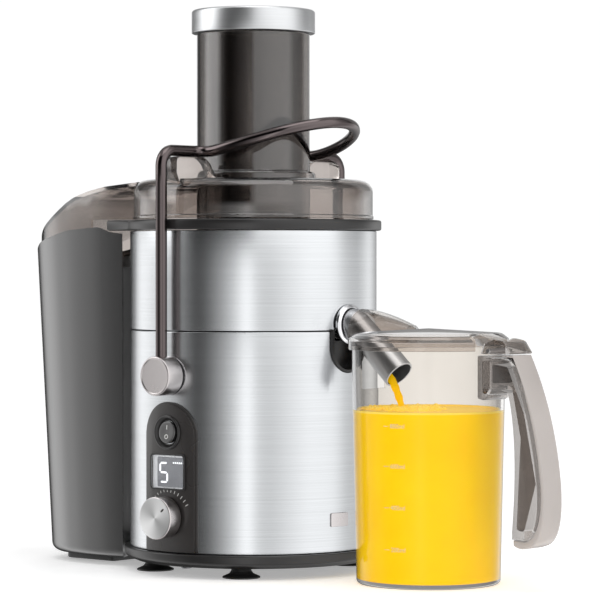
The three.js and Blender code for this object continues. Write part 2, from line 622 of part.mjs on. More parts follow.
add('jug_hinge_pin', alongY(rod(1.6, -13, 13, 8)).translate(HINGE_X, 0, HINGE_Z), ...BRIGHT);

export default machine;
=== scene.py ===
import json
import math
import random

import bmesh
import bpy
from mathutils import Matrix, Vector


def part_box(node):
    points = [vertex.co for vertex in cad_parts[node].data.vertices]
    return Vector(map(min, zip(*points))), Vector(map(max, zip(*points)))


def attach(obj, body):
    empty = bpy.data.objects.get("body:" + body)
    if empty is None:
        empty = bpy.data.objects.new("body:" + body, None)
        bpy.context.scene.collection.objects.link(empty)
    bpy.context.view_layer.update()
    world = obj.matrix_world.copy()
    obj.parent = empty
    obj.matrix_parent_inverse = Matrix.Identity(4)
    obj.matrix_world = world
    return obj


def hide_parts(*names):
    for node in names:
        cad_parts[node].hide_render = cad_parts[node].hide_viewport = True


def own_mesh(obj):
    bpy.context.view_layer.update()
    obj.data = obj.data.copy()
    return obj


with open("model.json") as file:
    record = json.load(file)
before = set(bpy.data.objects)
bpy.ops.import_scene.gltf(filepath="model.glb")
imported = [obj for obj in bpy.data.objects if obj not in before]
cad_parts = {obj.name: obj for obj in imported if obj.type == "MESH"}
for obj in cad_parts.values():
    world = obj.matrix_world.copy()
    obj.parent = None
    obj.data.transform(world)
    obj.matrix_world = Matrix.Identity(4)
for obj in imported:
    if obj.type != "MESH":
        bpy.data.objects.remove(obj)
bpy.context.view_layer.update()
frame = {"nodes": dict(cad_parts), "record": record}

# ---- The machine's place ----
# The juicer is built round the upright axis of its motor. Shapes below are in millimetres from
# that axis, with the spout along +X and the controls facing -Y, and become metres when placed.
MM = 0.001
housing_low, housing_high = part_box("motor_housing")
AXIS_X = (housing_low[0] + housing_high[0]) / 2


# ---- Camera and light ----
# A long lens stands well back at the height of the bowl, to the right of the controls.
# The studio is white all round, with soft lights to both sides and above.
CAMERA_TURN = math.radians(40.5)
CAMERA_AWAY = 2.3
CAMERA_HEIGHT = 0.237
AIM_RIGHT, AIM_HEIGHT = 0.0367, 0.2109
LENS = 175
MIDDLE_Z = 0.2  # where the lights point
WHITE, FILL = 1.02, 0.75  # the studio's white as it is seen, and as it lights the machine

to_camera = Vector((math.sin(CAMERA_TURN), -math.cos(CAMERA_TURN), 0))
to_right = Vector((math.cos(CAMERA_TURN), math.sin(CAMERA_TURN), 0))
aim = Vector((AXIS_X, 0, AIM_HEIGHT)) + to_right * AIM_RIGHT
camera_data = bpy.data.cameras.new("camera")
camera_data.lens = LENS
camera = bpy.data.objects.new("camera", camera_data)
bpy.context.collection.objects.link(camera)
camera.location = aim + to_camera * CAMERA_AWAY + Vector((0, 0, CAMERA_HEIGHT - AIM_HEIGHT))
camera.rotation_euler = (aim - camera.location).to_track_quat("-Z", "Y").to_euler()
bpy.context.scene.camera = camera
bpy.context.scene.view_settings.view_transform = "Standard"


def wired(tree, kind, links=None, **settings):
    """A shader node with its settings made, and its inputs given values or wires."""
    node = tree.nodes.new(kind)
    for key, value in settings.items():
        setattr(node, key, value)
    for key, value in (links or {}).items():
        if isinstance(value, bpy.types.NodeSocket):
            tree.links.new(value, node.inputs[key])
        else:
            node.inputs[key].default_value = value
    return node


world = bpy.data.worlds.new("studio")
bpy.context.scene.world = world
world.use_nodes = True
sky = world.node_tree
sky.nodes.clear()
ray = wired(sky, "ShaderNodeLightPath")
mirrored = wired(sky, "ShaderNodeMath", {0: ray.outputs["Glossy Depth"], 1: 0.5},
                 operation="GREATER_THAN")
lighting = wired(sky, "ShaderNodeMath", {0: mirrored.outputs[0],
                                         1: ray.outputs["Is Diffuse Ray"]}, operation="MAXIMUM")
glow = wired(sky, "ShaderNodeMix", {"Factor": lighting.outputs[0], "A": WHITE, "B": FILL})
backdrop = wired(sky, "ShaderNodeBackground", {"Strength": glow.outputs[0],
                                               "Color": (1, 1, 1, 1)})
wired(sky, "ShaderNodeOutputWorld", {"Surface": backdrop.outputs[0]})


def softbox(name, turn, height, away, width, tall, power):
    """A rectangular light that faces the middle of the machine. Turn is from the camera."""
    data = bpy.data.lights.new(name, "AREA")
    data.shape = "RECTANGLE"
    data.size, data.size_y, data.energy = width, tall, power
    light = bpy.data.objects.new(name, data)
    bpy.context.collection.objects.link(light)
    angle = CAMERA_TURN + math.radians(turn)
    light.location = (AXIS_X + away * math.sin(angle), -away * math.cos(angle), height)
    look = Vector((AXIS_X, 0, MIDDLE_Z)) - light.location
    light.rotation_euler = look.to_track_quat("-Z", "Y").to_euler()


softbox("left_strip", turn=-104, height=0.5, away=1.4, width=0.35, tall=1.1, power=1)
softbox("right_box", turn=70, height=0.6, away=1.6, width=1.0, tall=1.2, power=1)
softbox("top_box", turn=20, height=1.9, away=0.5, width=1.2, tall=1.2, power=8)


# ---- Table top ----
# A plain white sheet lies under everything and fades into the white of the studio.
# It has the finish of moulded plastic, which has a faint grain and an uneven sheen.
TABLE_HALF = 6000


def socket(group, name, kind, way, value=None):
    made = group.interface.new_socket(name=name, in_out=way, socket_type="NodeSocket" + kind)
    if value is not None:
        made.default_value = value


def grain_group():
    """Moulded grain: mottled colour, uneven roughness and a fine bump."""
    group = bpy.data.node_groups.new("moulded_grain", "ShaderNodeTree")
    socket(group, "Colour", "Color", "INPUT", (0.5, 0.5, 0.5, 1))
    socket(group, "Mottle", "Float", "INPUT", 0.06)
    socket(group, "Roughness", "Float", "INPUT", 0.4)
    socket(group, "Scale", "Float", "INPUT", 900.0)
    socket(group, "Depth", "Float", "INPUT", 0.1)
    socket(group, "Colour", "Color", "OUTPUT")
    socket(group, "Roughness", "Float", "OUTPUT")
    socket(group, "Normal", "Vector", "OUTPUT")
    given = group.nodes.new("NodeGroupInput")
    result = group.nodes.new("NodeGroupOutput")
    place = wired(group, "ShaderNodeTexCoord").outputs["Object"]
    fine = wired(group, "ShaderNodeTexNoise", {"Vector": place, "Scale": given.outputs["Scale"],
                                               "Detail": 3.0}).outputs["Fac"]
    broad = wired(group, "ShaderNodeTexNoise", {"Vector": place, "Scale": 28.0,
                                                "Detail": 2.0}).outputs["Fac"]
    swing = wired(group, "ShaderNodeMapRange", {"Value": broad, "To Min": -1.0, "To Max": 1.0})
    amount = wired(group, "ShaderNodeMath", {0: swing.outputs[0], 1: given.outputs["Mottle"]},
                   operation="MULTIPLY")
    level = wired(group, "ShaderNodeMath", {0: amount.outputs[0], 1: 1.0}, operation="ADD")
    tint = wired(group, "ShaderNodeVectorMath", {0: given.outputs["Colour"],
                                                 "Scale": level.outputs[0]}, operation="SCALE")
    rough = wired(group, "ShaderNodeMath", {0: given.outputs["Roughness"],
                                            1: level.outputs[0]}, operation="MULTIPLY")
    bump = wired(group, "ShaderNodeBump", {"Height": fine, "Strength": given.outputs["Depth"],
                                           "Distance": 0.0002})
    group.links.new(tint.outputs[0], result.inputs["Colour"])
    group.links.new(rough.outputs[0], result.inputs["Roughness"])
    group.links.new(bump.outputs[0], result.inputs["Normal"])
    return group


GRAIN = grain_group()


def finished(name, group, values, **shader_values):
    """A material whose colour, roughness and normal come from a finish group."""
    made = bpy.data.materials.new(name)
    made.use_nodes = True
    tree = made.node_tree
    shader = tree.nodes["Principled BSDF"]
    finish = tree.nodes.new("ShaderNodeGroup")
    finish.node_tree = group
    for key, value in values.items():
        finish.inputs[key].default_value = value
    tree.links.new(finish.outputs["Colour"], shader.inputs["Base Color"])
    tree.links.new(finish.outputs["Roughness"], shader.inputs["Roughness"])
    tree.links.new(finish.outputs["Normal"], shader.inputs["Normal"])
    for key, value in shader_values.items():
        shader.inputs[key.replace("_", " ")].default_value = value
    return made


def plastic(name, colour, roughness, **shader_values):
    values = {"Colour": (*colour, 1), "Roughness": roughness, "Mottle": 0.08, "Depth": 0.08}
    return finished(name, GRAIN, values, **shader_values)


def placed(name, bm, material, sharp=32):
    """Turns a bmesh in millimetres about the machine's axis into an object in metres."""
    bmesh.ops.scale(bm, vec=(MM, MM, MM), verts=bm.verts)
    bmesh.ops.translate(bm, vec=(AXIS_X, 0, 0), verts=bm.verts)
    mesh = bpy.data.meshes.new(name)
    bm.to_mesh(mesh)
    bm.free()
    mesh.shade_smooth()
    mesh.set_sharp_from_angle(angle=math.radians(sharp))
    mesh.materials.append(material)
    made = bpy.data.objects.new(name, mesh)
    bpy.context.collection.objects.link(made)
    return made


sheet = bmesh.new()
bmesh.ops.create_grid(sheet, x_segments=1, y_segments=1, size=TABLE_HALF)
table_sheet = plastic("table_sheet", (0.93, 0.93, 0.93), 0.6, Emission_Strength=0.35)
table_sheet.node_tree.nodes["Principled BSDF"].inputs["Emission Color"].default_value = (
    1, 1, 1, 1)
table = placed("table", sheet, table_sheet)

# ---- Studio screens ----
# Light and dark screens stand in a ring round the machine, and show only in what it reflects.
# Each level belongs to a bearing in degrees from the camera. The chute reflects the upper row.
LOWER_SCREENS = {-180: 0.15, -165: 0.05, -146: 0.04, -135: 0.75, -122: 1.5, -102: 1.15,
                 -90: 0.8, -75: 0.7, -64: 0.26, -50: 0.04, -40: 0.16, -27: 0.5, -15: 0.98,
                 -5: 1.9, 5: 0.92, 17: 0.92, 30: 1.15, 50: 1.45, 77: 1.4, 92: 0.9, 110: 0.75,
                 132: 1.3, 150: 0.6, 166: 0.3}
UPPER_SCREENS = {-180: 1.0, -164: 0.8, -152: 0.1, -136: 0.1, -118: 0.4, -104: 2.4, -78: 2.6,
                 -66: 0.3, -56: 0.0, -3: 0.02, 4: 1.2, 25: 1.5, 75: 1.6, 90: 0.7, 115: 0.2,
                 128: 0.6, 150: 0.3, 166: 1.0}
SCREEN_RING, SCREEN_TOP = 950, 1300
ROW_SPLIT, ROW_BLUR = 0.36, 0.02  # in metres
ring = bmesh.new()
bmesh.ops.create_cone(ring, segments=128, radius1=SCREEN_RING, radius2=SCREEN_RING,
                      depth=2 * SCREEN_TOP, cap_ends=False)
screen_light = bpy.data.materials.new("screen_light")
screen_light.use_nodes = True
screen_tree = screen_light.node_tree
screen_tree.nodes.clear()
spot = wired(screen_tree, "ShaderNodeTexCoord").outputs["Object"]
spin_spot = wired(screen_tree, "ShaderNodeMapping", {"Vector": spot, "Rotation": (
    0, 0, -CAMERA_TURN), "Location": tuple(Matrix.Rotation(-CAMERA_TURN, 3, "Z") @ Vector(
        (-AXIS_X, 0, 0)))})
axes = wired(screen_tree, "ShaderNodeSeparateXYZ", {"Vector": spin_spot.outputs[0]})
backwards = wired(screen_tree, "ShaderNodeMath", {0: axes.outputs["Y"], 1: -1.0},
                  operation="MULTIPLY")
bearing = wired(screen_tree, "ShaderNodeMath", {0: axes.outputs["X"], 1: backwards.outputs[0]},
                operation="ARCTAN2")
around = wired(screen_tree, "ShaderNodeMapRange", {"Value": bearing.outputs[0],
                                                   "From Min": -math.pi, "From Max": math.pi})


def screen_row(levels):
    row = wired(screen_tree, "ShaderNodeValToRGB", {"Fac": around.outputs[0]})
    marks = row.color_ramp.elements
    marks[0].color = marks[1].color = (levels[-180],) * 3 + (1,)
    for degrees, level in list(levels.items())[1:]:
        marks.new((degrees + 180) / 360).color = (level, level, level, 1)
    return row.outputs["Color"]


above = wired(screen_tree, "ShaderNodeMapRange", {"Value": axes.outputs["Z"],
                                                  "From Min": ROW_SPLIT - ROW_BLUR,
                                                  "From Max": ROW_SPLIT + ROW_BLUR})
rows = wired(screen_tree, "ShaderNodeMix", data_type="RGBA")
screen_tree.links.new(above.outputs[0], rows.inputs["Factor"])
screen_tree.links.new(screen_row(LOWER_SCREENS), rows.inputs[6])
screen_tree.links.new(screen_row(UPPER_SCREENS), rows.inputs[7])
path = wired(screen_tree, "ShaderNodeLightPath")
mirrored = wired(screen_tree, "ShaderNodeMath", {0: path.outputs["Glossy Depth"], 1: 0.5},
                 operation="GREATER_THAN")
shown = wired(screen_tree, "ShaderNodeMix", data_type="RGBA")
screen_tree.links.new(mirrored.outputs[0], shown.inputs["Factor"])
shown.inputs[6].default_value = (WHITE, WHITE, WHITE, 1)
screen_tree.links.new(rows.outputs[2], shown.inputs[7])
lamp = wired(screen_tree, "ShaderNodeEmission", {"Color": shown.outputs[2], "Strength": 1.0})
wired(screen_tree, "ShaderNodeOutputMaterial", {"Surface": lamp.outputs[0]})
screens = placed("studio_screens", ring, screen_light)
screens.visible_camera = screens.visible_diffuse = table.visible_glossy = False
screens.visible_shadow = screens.visible_volume_scatter = False


# ---- Feet ----
# Four soft rubber suction cups hold the machine to the table. Each is moulded in one piece,
# with a thin flared lip below and a plug above that is pressed into the base.
rubber = plastic("rubber", (0.012, 0.012, 0.012), 0.5)


def extent(node):
    low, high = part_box(node)
    shift = Vector((AXIS_X, 0, 0))
    return (Vector(low) - shift) / MM, (Vector(high) - shift) / MM


def softened(points, steps=4):
    """An outline with a fillet at each corner that has a third value, its radius."""
    smooth = []
    count = len(points)
    for i, point in enumerate(points):
        here = Vector(point[:2])
        radius = point[2] if len(point) > 2 else 0
        if not radius:
            smooth.append(tuple(here))
            continue
        before = (Vector(points[i - 1][:2]) - here).normalized()
        after = (Vector(points[(i + 1) % count][:2]) - here).normalized()
        half = before.angle(after) / 2
        reach = radius / math.tan(half)
        centre = here + (before + after).normalized() * radius / math.sin(half)
        start, end = here + before * reach, here + after * reach
        for k in range(steps + 1):
            mix = start.lerp(end, k / steps) - centre
            smooth.append(tuple(centre + mix.normalized() * radius))
    return smooth


def turned(points, sides=128, centre=(0, 0), closed=True):
    """A bmesh of an outline in radius and height, spun about an upright line."""
    bm = bmesh.new()
    outline = softened(points)
    verts = [bm.verts.new((centre[0] + r, centre[1], z)) for r, z in outline]
    edges = [bm.edges.new(pair) for pair in zip(verts, verts[1:])]
    if closed:
        edges.append(bm.edges.new((verts[-1], verts[0])))
    bmesh.ops.spin(bm, geom=verts + edges, cent=(*centre, 0), axis=(0, 0, 1),
                   angle=math.tau, steps=sides, use_merge=True)
    bmesh.ops.remove_doubles(bm, verts=bm.verts, dist=1e-4)
    bmesh.ops.dissolve_degenerate(bm, edges=bm.edges, dist=1e-4)
    bmesh.ops.recalc_face_normals(bm, faces=bm.faces)
    return bm


def fitted(piece, body, slot, *nodes):
    """Says which body a piece rides on and the plain solids it stands for; its finish slot is not
    used.
    """
    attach(piece, body)
    piece.visible_glossy = body not in ("jug", "jug_cover")  # keeps the steel clean
    if nodes:
        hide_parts(*nodes)
    return piece


CUP_HOLLOW, FOOT_LIP, WAIST_R, PLUG_R = 2.0, 1.2, 8, 7.2
for number in range(1, 5):
    low, high = extent(f"foot_{number}")
    middle = (low + high) / 2
    reach = (high.x - low.x) / 2
    cup = turned([(0, CUP_HOLLOW), (reach - 4, 0.4), (reach, 0, 0.3), (reach, FOOT_LIP, 0.5),
                  (reach - 5, 3.4, 2), (WAIST_R, 5.2, 1.5), (PLUG_R, high.z), (0, high.z)], 64,
                 (middle.x, middle.y), False)
    fitted(placed(f"suction_foot_{number}", cup, rubber), "root", "rubber", f"foot_{number}")

# ---- Base cover ----
# A black moulded dish closes the bottom and is screwed on from below.
# Its rim stands a little proud of the steel.
black_plastic = plastic("black_plastic", (0.016, 0.015, 0.015), 0.30)
base_low, base_high = extent("base_cover")
BASE_R, BASE_WALL, BASE_FLOOR = base_high.x, 9, 11
dish = turned([(0, base_low.z), (BASE_R - BASE_WALL, base_low.z, 2), (BASE_R - 1, 11.5, 4),
               (BASE_R, base_high.z, 1.2), (BASE_R - BASE_WALL, base_high.z),
               (BASE_R - BASE_WALL, BASE_FLOOR), (0, BASE_FLOOR)], 160, closed=False)
fitted(placed("base_dish", dish, black_plastic), "root", "black_plastic", "base_cover")

# ---- Motor housing ----
# A rolled sleeve of stainless steel, brushed round in fine level lines.
# A round-bottomed notch is cut into its upper edge where the spout comes out.
BODY_R = extent("motor_housing")[1].x
SEAM_Z = extent("motor_housing")[1].z
SLEEVE_Z = extent("motor_housing")[0].z
SKIN = 1.2
NOTCH_HALF, NOTCH_Z = 19.5, 175.0


def brushed_group():
    """Brushed steel: fine level lines drawn round the piece, lighter and darker."""
    group = bpy.data.node_groups.new("brushed_lines", "ShaderNodeTree")
    socket(group, "Colour", "Color", "INPUT", (0.7, 0.7, 0.7, 1))
    socket(group, "Contrast", "Float", "INPUT", 0.12)
    socket(group, "Roughness", "Float", "INPUT", 0.3)
    socket(group, "Stretch", "Vector", "INPUT", (9, 9, 1500))
    socket(group, "Colour", "Color", "OUTPUT")
    socket(group, "Roughness", "Float", "OUTPUT")
    socket(group, "Normal", "Vector", "OUTPUT")
    given = group.nodes.new("NodeGroupInput")
    result = group.nodes.new("NodeGroupOutput")
    place = wired(group, "ShaderNodeTexCoord").outputs["Object"]
    drawn = wired(group, "ShaderNodeVectorMath", {0: place, 1: given.outputs["Stretch"]},
                  operation="MULTIPLY")
    lines = wired(group, "ShaderNodeTexNoise", {"Vector": drawn.outputs[0], "Scale": 1.0,
                                                "Detail": 4.0, "Roughness": 0.7}).outputs["Fac"]
    swing = wired(group, "ShaderNodeMapRange", {"Value": lines, "From Min": 0.25,
                                                "From Max": 0.75, "To Min": -1.0, "To Max": 1.0})
    amount = wired(group, "ShaderNodeMath", {0: swing.outputs[0], 1: given.outputs["Contrast"]},
                   operation="MULTIPLY")
    level = wired(group, "ShaderNodeMath", {0: amount.outputs[0], 1: 1.0}, operation="ADD")
    tint = wired(group, "ShaderNodeVectorMath", {0: given.outputs["Colour"],
                                                 "Scale": level.outputs[0]}, operation="SCALE")
    rough = wired(group, "ShaderNodeMath", {0: given.outputs["Roughness"],
                                            1: level.outputs[0]}, operation="MULTIPLY")
    bump = wired(group, "ShaderNodeBump", {"Height": lines, "Strength": 0.12,
                                           "Distance": 0.0001})
    group.links.new(tint.outputs[0], result.inputs["Colour"])
    group.links.new(rough.outputs[0], result.inputs["Roughness"])
    group.links.new(bump.outputs[0], result.inputs["Normal"])
    return group


LINES = brushed_group()


def metal(name, colour, roughness, contrast=0.1, stretch=(9, 9, 1500)):
    values = {"Colour": (*colour, 1), "Roughness": roughness, "Contrast": contrast,
              "Stretch": stretch}
    return finished(name, LINES, values, Metallic=1.0)


def raised(points, low, high, bevel=0.0, segments=3):
    """A bmesh of an outline in plan, with straight sides and rounded rims."""
    bm = bmesh.new()
    face = bm.faces.new([bm.verts.new((x, y, low)) for x, y in points])
    top = bmesh.ops.extrude_face_region(bm, geom=[face])
    verts = [item for item in top["geom"] if isinstance(item, bmesh.types.BMVert)]
    bmesh.ops.translate(bm, vec=(0, 0, high - low), verts=verts)
    bmesh.ops.recalc_face_normals(bm, faces=bm.faces)
    if bevel:
        rims = [e for e in bm.edges if abs(e.verts[0].co.z - e.verts[1].co.z) < 1e-6]
        bmesh.ops.bevel(bm, geom=rims, offset=bevel, segments=segments, profile=0.5,
                        affect="EDGES", material=-1)
    return bm


def carved(piece, *cutters, way="DIFFERENCE"):
    """Cuts or joins other shapes into a piece, and leaves none of them behind."""
    for cutter in cutters:
        step = piece.modifiers.new("cut", "BOOLEAN")
        step.operation, step.object, step.solver = way, cutter, "EXACT"
        shape = piece.evaluated_get(bpy.context.evaluated_depsgraph_get())
        mesh = bpy.data.meshes.new_from_object(shape)
        piece.modifiers.clear()
        old = piece.data
        piece.data = mesh
        bpy.data.meshes.remove(old)
        bpy.data.objects.remove(cutter)
    piece.data.shade_smooth()
    piece.data.set_sharp_from_angle(angle=math.radians(32))
    return piece


def laid(bm, matrix):
    bmesh.ops.transform(bm, matrix=matrix, verts=bm.verts)
    return bm


def up(z):
    return Matrix.Translation((0, 0, z))


def sleeve(low, high):
    return turned([(BODY_R - SKIN, low), (BODY_R, low, 0.4), (BODY_R, high, 0.6),
                   (BODY_R - SKIN, high)], 192)


def notch_shape(half, near, far, top):
    """A bar along X with a round underside, for cutting the notch and its liner."""
    steps = 24
    points = [(half * math.cos(a), half * math.sin(a))
              for a in (math.pi + math.pi * k / steps for k in range(steps + 1))]
    points += [(half, top - NOTCH_Z), (-half, top - NOTCH_Z)]
    bar = raised(points, near, far)
    return laid(bar, up(NOTCH_Z) @ Matrix.Rotation(math.pi / 2, 4, "Z") @ OUT_OF_FRONT)


OUT_OF_FRONT = Matrix.Rotation(math.pi / 2, 4, "X")  # +Z becomes -Y
brushed_steel = metal("brushed_steel", (0.62, 0.635, 0.65), 0.24, 0.09, (7, 7, 2600))
housing = placed("housing_sleeve", sleeve(SLEEVE_Z, SEAM_Z), brushed_steel)
carved(housing, placed("notch", notch_shape(NOTCH_HALF, 60, 140, 210), brushed_steel))
fitted(housing, "root", "brushed_steel", "motor_housing")

# ---- Spout saddle ----
# A black moulded liner closes the notch behind the spout.
# It clips over the steel from inside and hides the cut edge.
OUT_OF_RIGHT = Matrix.Rotation(math.pi / 2, 4, "Y")  # +Z becomes +X
saddle_low, saddle_high = extent("spout_saddle")
LINER_OUT, LINER_IN, LINER_BACK = NOTCH_HALF - 0.4, NOTCH_HALF - 2.6, 3
liner = placed("saddle_liner", notch_shape(LINER_OUT, saddle_low.x, saddle_high.x,
                                           saddle_high.z), black_plastic)
carved(liner, placed("saddle_hollow", notch_shape(LINER_IN, saddle_low.x + LINER_BACK, 140, 220),
                     black_plastic))
BOSS_R, SPOUT_Z = 13.0, 193.0


def rod_along_x(radius, near, far, z, sides=64):
    bm = turned([(0, near), (radius, near), (radius, far), (0, far)], sides, closed=False)
    return laid(bm, up(z) @ OUT_OF_RIGHT)


carved(liner, placed("boss_way", rod_along_x(BOSS_R, 60, 140, SPOUT_Z), black_plastic))
fitted(liner, "root", "black_plastic", "spout_saddle")

# ---- Bowl surround ----
# The upper sleeve, of the same brushed steel, covers the juice bowl and lifts away with it.
# The spout passes through a hole at its foot.
surround_low, surround_high = extent("bowl_surround")
surround = placed("bowl_sleeve", sleeve(surround_low.z, surround_high.z), brushed_steel)
carved(surround, placed("boss_hole", rod_along_x(BOSS_R, 60, 140, SPOUT_Z), brushed_steel))
fitted(surround, "root", "brushed_steel", "bowl_surround")

# ---- Bowl rim ----
# A black moulded collar is pressed onto the upper sleeve and carries the lid.
# On the left it widens to meet the pulp container.
rim_low, rim_high = extent("bowl_rim")
RIM_R = rim_high.y


def arc_points(radius, start, stop, steps, centre=(0, 0)):
    angles = [math.radians(start + (stop - start) * k / steps) for k in range(steps + 1)]
    return [(centre[0] + radius * math.cos(a), centre[1] + radius * math.sin(a)) for a in angles]


wing = extent("pulp_container")[1].y + 1
WING_TURN, COLLAR_BORE, PULP_WAY = 126, 92.5, 68
rim_plan = arc_points(RIM_R, -WING_TURN, WING_TURN, 120) + [(rim_low.x, wing), (rim_low.x, -wing)]
collar = placed("bowl_collar", raised(rim_plan, rim_low.z, rim_high.z, 1.6), black_plastic)
carved(collar,
       placed("collar_bore", turned([(0, 240), (COLLAR_BORE, 240), (COLLAR_BORE, 290), (0, 290)],
                                    160, closed=False), black_plastic),
       placed("pulp_way", raised([(-120, -PULP_WAY), (-60, -PULP_WAY), (-60, PULP_WAY),
                                  (-120, PULP_WAY)], 240, 290), black_plastic))
fitted(collar, "root", "black_plastic", "bowl_rim")

# ---- Filter basket and grater ----
# The stainless basket is a shallow cone of fine sieve, pressed and welded to a rim.
# A disc with rows of stamped teeth is fixed at its centre and spins with it.
polished_steel = metal("polished_steel", (0.80, 0.80, 0.82), 0.12, 0.04, (40, 40, 40))
sieve_steel = metal("sieve_steel", (0.55, 0.55, 0.56), 0.35, 0.25, (700, 700, 700))
BASKET_R = extent("filter_basket")[1].x
HUB_R, FLOOR_R, FLOOR_Z, BRIM_Z = 15, 48, 233, 262
cone = turned([(HUB_R, FLOOR_Z), (FLOOR_R, FLOOR_Z), (FLOOR_R + 2, FLOOR_Z + 1),
               (BASKET_R - 3, BRIM_Z - 4, 2), (BASKET_R, BRIM_Z - 4, 0.6), (BASKET_R, BRIM_Z, 0.8),
               (BASKET_R - 5, BRIM_Z, 1), (FLOOR_R + 0.4, FLOOR_Z + 3.6),
               (HUB_R, FLOOR_Z + 3.6)], 128)
fitted(placed("sieve_basket", cone, sieve_steel), "rotating_basket", "brushed_steel",
       "filter_basket")
GRATER_R, TOOTH_Z, TOOTH_ROW, ROW_TEETH = 46, 240.2, 5.5, 7
grater = turned([(0, 237.2), (GRATER_R, 237.2), (GRATER_R, 238.6, 0.4), (4, 240.3), (0, 240.4)],
                96, closed=False)
for ring_number in range(1, 8):
    ring_r = TOOTH_ROW * ring_number + 4
    for tooth in range(ROW_TEETH * ring_number):
        turn = math.tau * tooth / (ROW_TEETH * ring_number) + 0.4 * ring_number
        spike = bmesh.ops.create_cone(grater, segments=3, radius1=0.8, radius2=0, depth=1.8,
                                      cap_ends=True)
        bmesh.ops.transform(grater, verts=spike["verts"], matrix=Matrix.Translation(
            (ring_r * math.cos(turn), ring_r * math.sin(turn), TOOTH_Z)))
fitted(placed("grater_disc", grater, polished_steel), "rotating_basket", "polished_steel",
       "grating_disc")

# ---- Spout ----
# A satin steel pipe leaves the bowl through a short neck and turns down into the jug.
# A polished steel flange closes the gap round the neck.
SPOUT_R, NECK_R, CORNER_X, REACH, SPOUT_WALL, OUT_OF_BODY = 12.0, 10.5, 104.0, 57.5, 1.3, 98.2
FLANGE_R, FLANGE_NEAR = 15.4, 97.4
TILT = math.radians(42)
DOWN_SPOUT = Matrix.Translation((CORNER_X, 0, SPOUT_Z)) @ Matrix.Rotation(
    math.pi / 2 + TILT, 4, "Y")


def spout_solid(name, radius, neck, start, reach):
    ball = bmesh.new()
    bmesh.ops.create_uvsphere(ball, u_segments=64, v_segments=32, radius=radius)
    laid(ball, Matrix.Translation((CORNER_X, 0, SPOUT_Z)))
    pipe = turned([(0, 0), (radius, 0), (radius, reach, 0.3), (0, reach)], 64, closed=False)
    made = placed(name, ball, satin_steel)
    return carved(made, placed("pipe", laid(pipe, DOWN_SPOUT), satin_steel),
                  placed("neck", rod_along_x(neck, start, CORNER_X, SPOUT_Z), satin_steel),
                  way="UNION")


satin_steel = metal("satin_steel", (0.56, 0.56, 0.57), 0.34, 0.05, (60, 60, 60))
spout = spout_solid("spout_pipe", SPOUT_R, NECK_R, OUT_OF_BODY, REACH)
carved(spout, spout_solid("bore", SPOUT_R - SPOUT_WALL, NECK_R - SPOUT_WALL, 90, REACH + 5),
       placed("body_side", raised([(60, -20), (OUT_OF_BODY, -20), (OUT_OF_BODY, 20), (60, 20)],
                                  170, 215), satin_steel))
fitted(spout, "root", "brushed_steel", "juice_spout")
flange = turned([(BOSS_R - 0.6, FLANGE_NEAR), (FLANGE_R, FLANGE_NEAR),
                 (FLANGE_R, FLANGE_NEAR + 2, 1.4), (BOSS_R + 0.2, FLANGE_NEAR + 3.6, 0.6),
                 (BOSS_R - 0.6, FLANGE_NEAR + 3.2)], 96)
fitted(placed("spout_ring", laid(flange, up(SPOUT_Z) @ OUT_OF_RIGHT), polished_steel), "root",
       "polished_steel", "spout_flange")

# ---- Control panel ----
# A dark moulded fascia is clipped round the front of the sleeve, with holes for the controls.
# Its arched face stands above a thin step.
PANEL_HALF, PANEL_STEP = 26.4, 1.6
SWITCH_HOLE, DIAL_HOLE, WINDOW_WIDE, WINDOW_TALL = 11.5, 4, 17.6, 13.2
panel_low, panel_high = extent("control_panel")
PANEL_OUT = -panel_low.y
SWITCH_Z, WINDOW_Z, DIAL_Z = 110.6, 80.5, 46.0
fascia_plastic = plastic("fascia_plastic", (0.030, 0.027, 0.026), 0.28)


def arched(half, low, top):
    return [(-half, low), (half, low)] + arc_points(half, 0, 180, 40, (0, top - half))


def rimmed(piece, width, segments, sharpest):
    """Rounds the edges that turn by more than an angle in degrees."""
    rim = piece.modifiers.new("rim", "BEVEL")
    rim.width, rim.segments = width * MM, segments
    rim.limit_method, rim.angle_limit = "ANGLE", math.radians(sharpest)
    return piece


def bent_plate(name, outline, inner, outer, material, bevel=0.5):
    """A flat outline on the front, bent round the sleeve between two radii."""
    band = placed(name, turned([(inner, -5), (outer, -5), (outer, SEAM_Z), (inner, SEAM_Z)], 256),
                  material)
    stamp = laid(raised(outline, 60, 130), OUT_OF_FRONT)
    carved(band, placed("stamp", stamp, material), way="INTERSECT")
    return rimmed(band, bevel, 3, 40)


def on_front(shape, z, matrix=None):
    """Stands a flat shape up on the front of the machine, at a height."""
    return laid(shape, up(z) @ OUT_OF_FRONT @ (matrix or Matrix.Identity(4)))


def front_hole(radius, z):
    bore = turned([(0, 80), (radius, 80), (radius, 120), (0, 120)], 64, closed=False)
    return placed("hole", on_front(bore, z), fascia_plastic)


def rounded_box(half_wide, half_tall, radius, steps=6):
    points = []
    for x, y, start in ((1, -1, -90), (1, 1, 0), (-1, 1, 90), (-1, -1, 180)):
        points += arc_points(radius, start, start + 90, steps,
                             (x * (half_wide - radius), y * (half_tall - radius)))
    return points


def window_hole(half_wide, half_tall):
    opening = raised(rounded_box(half_wide, half_tall, 2.2), 80, 120)
    return placed("hole", on_front(opening, WINDOW_Z), fascia_plastic)


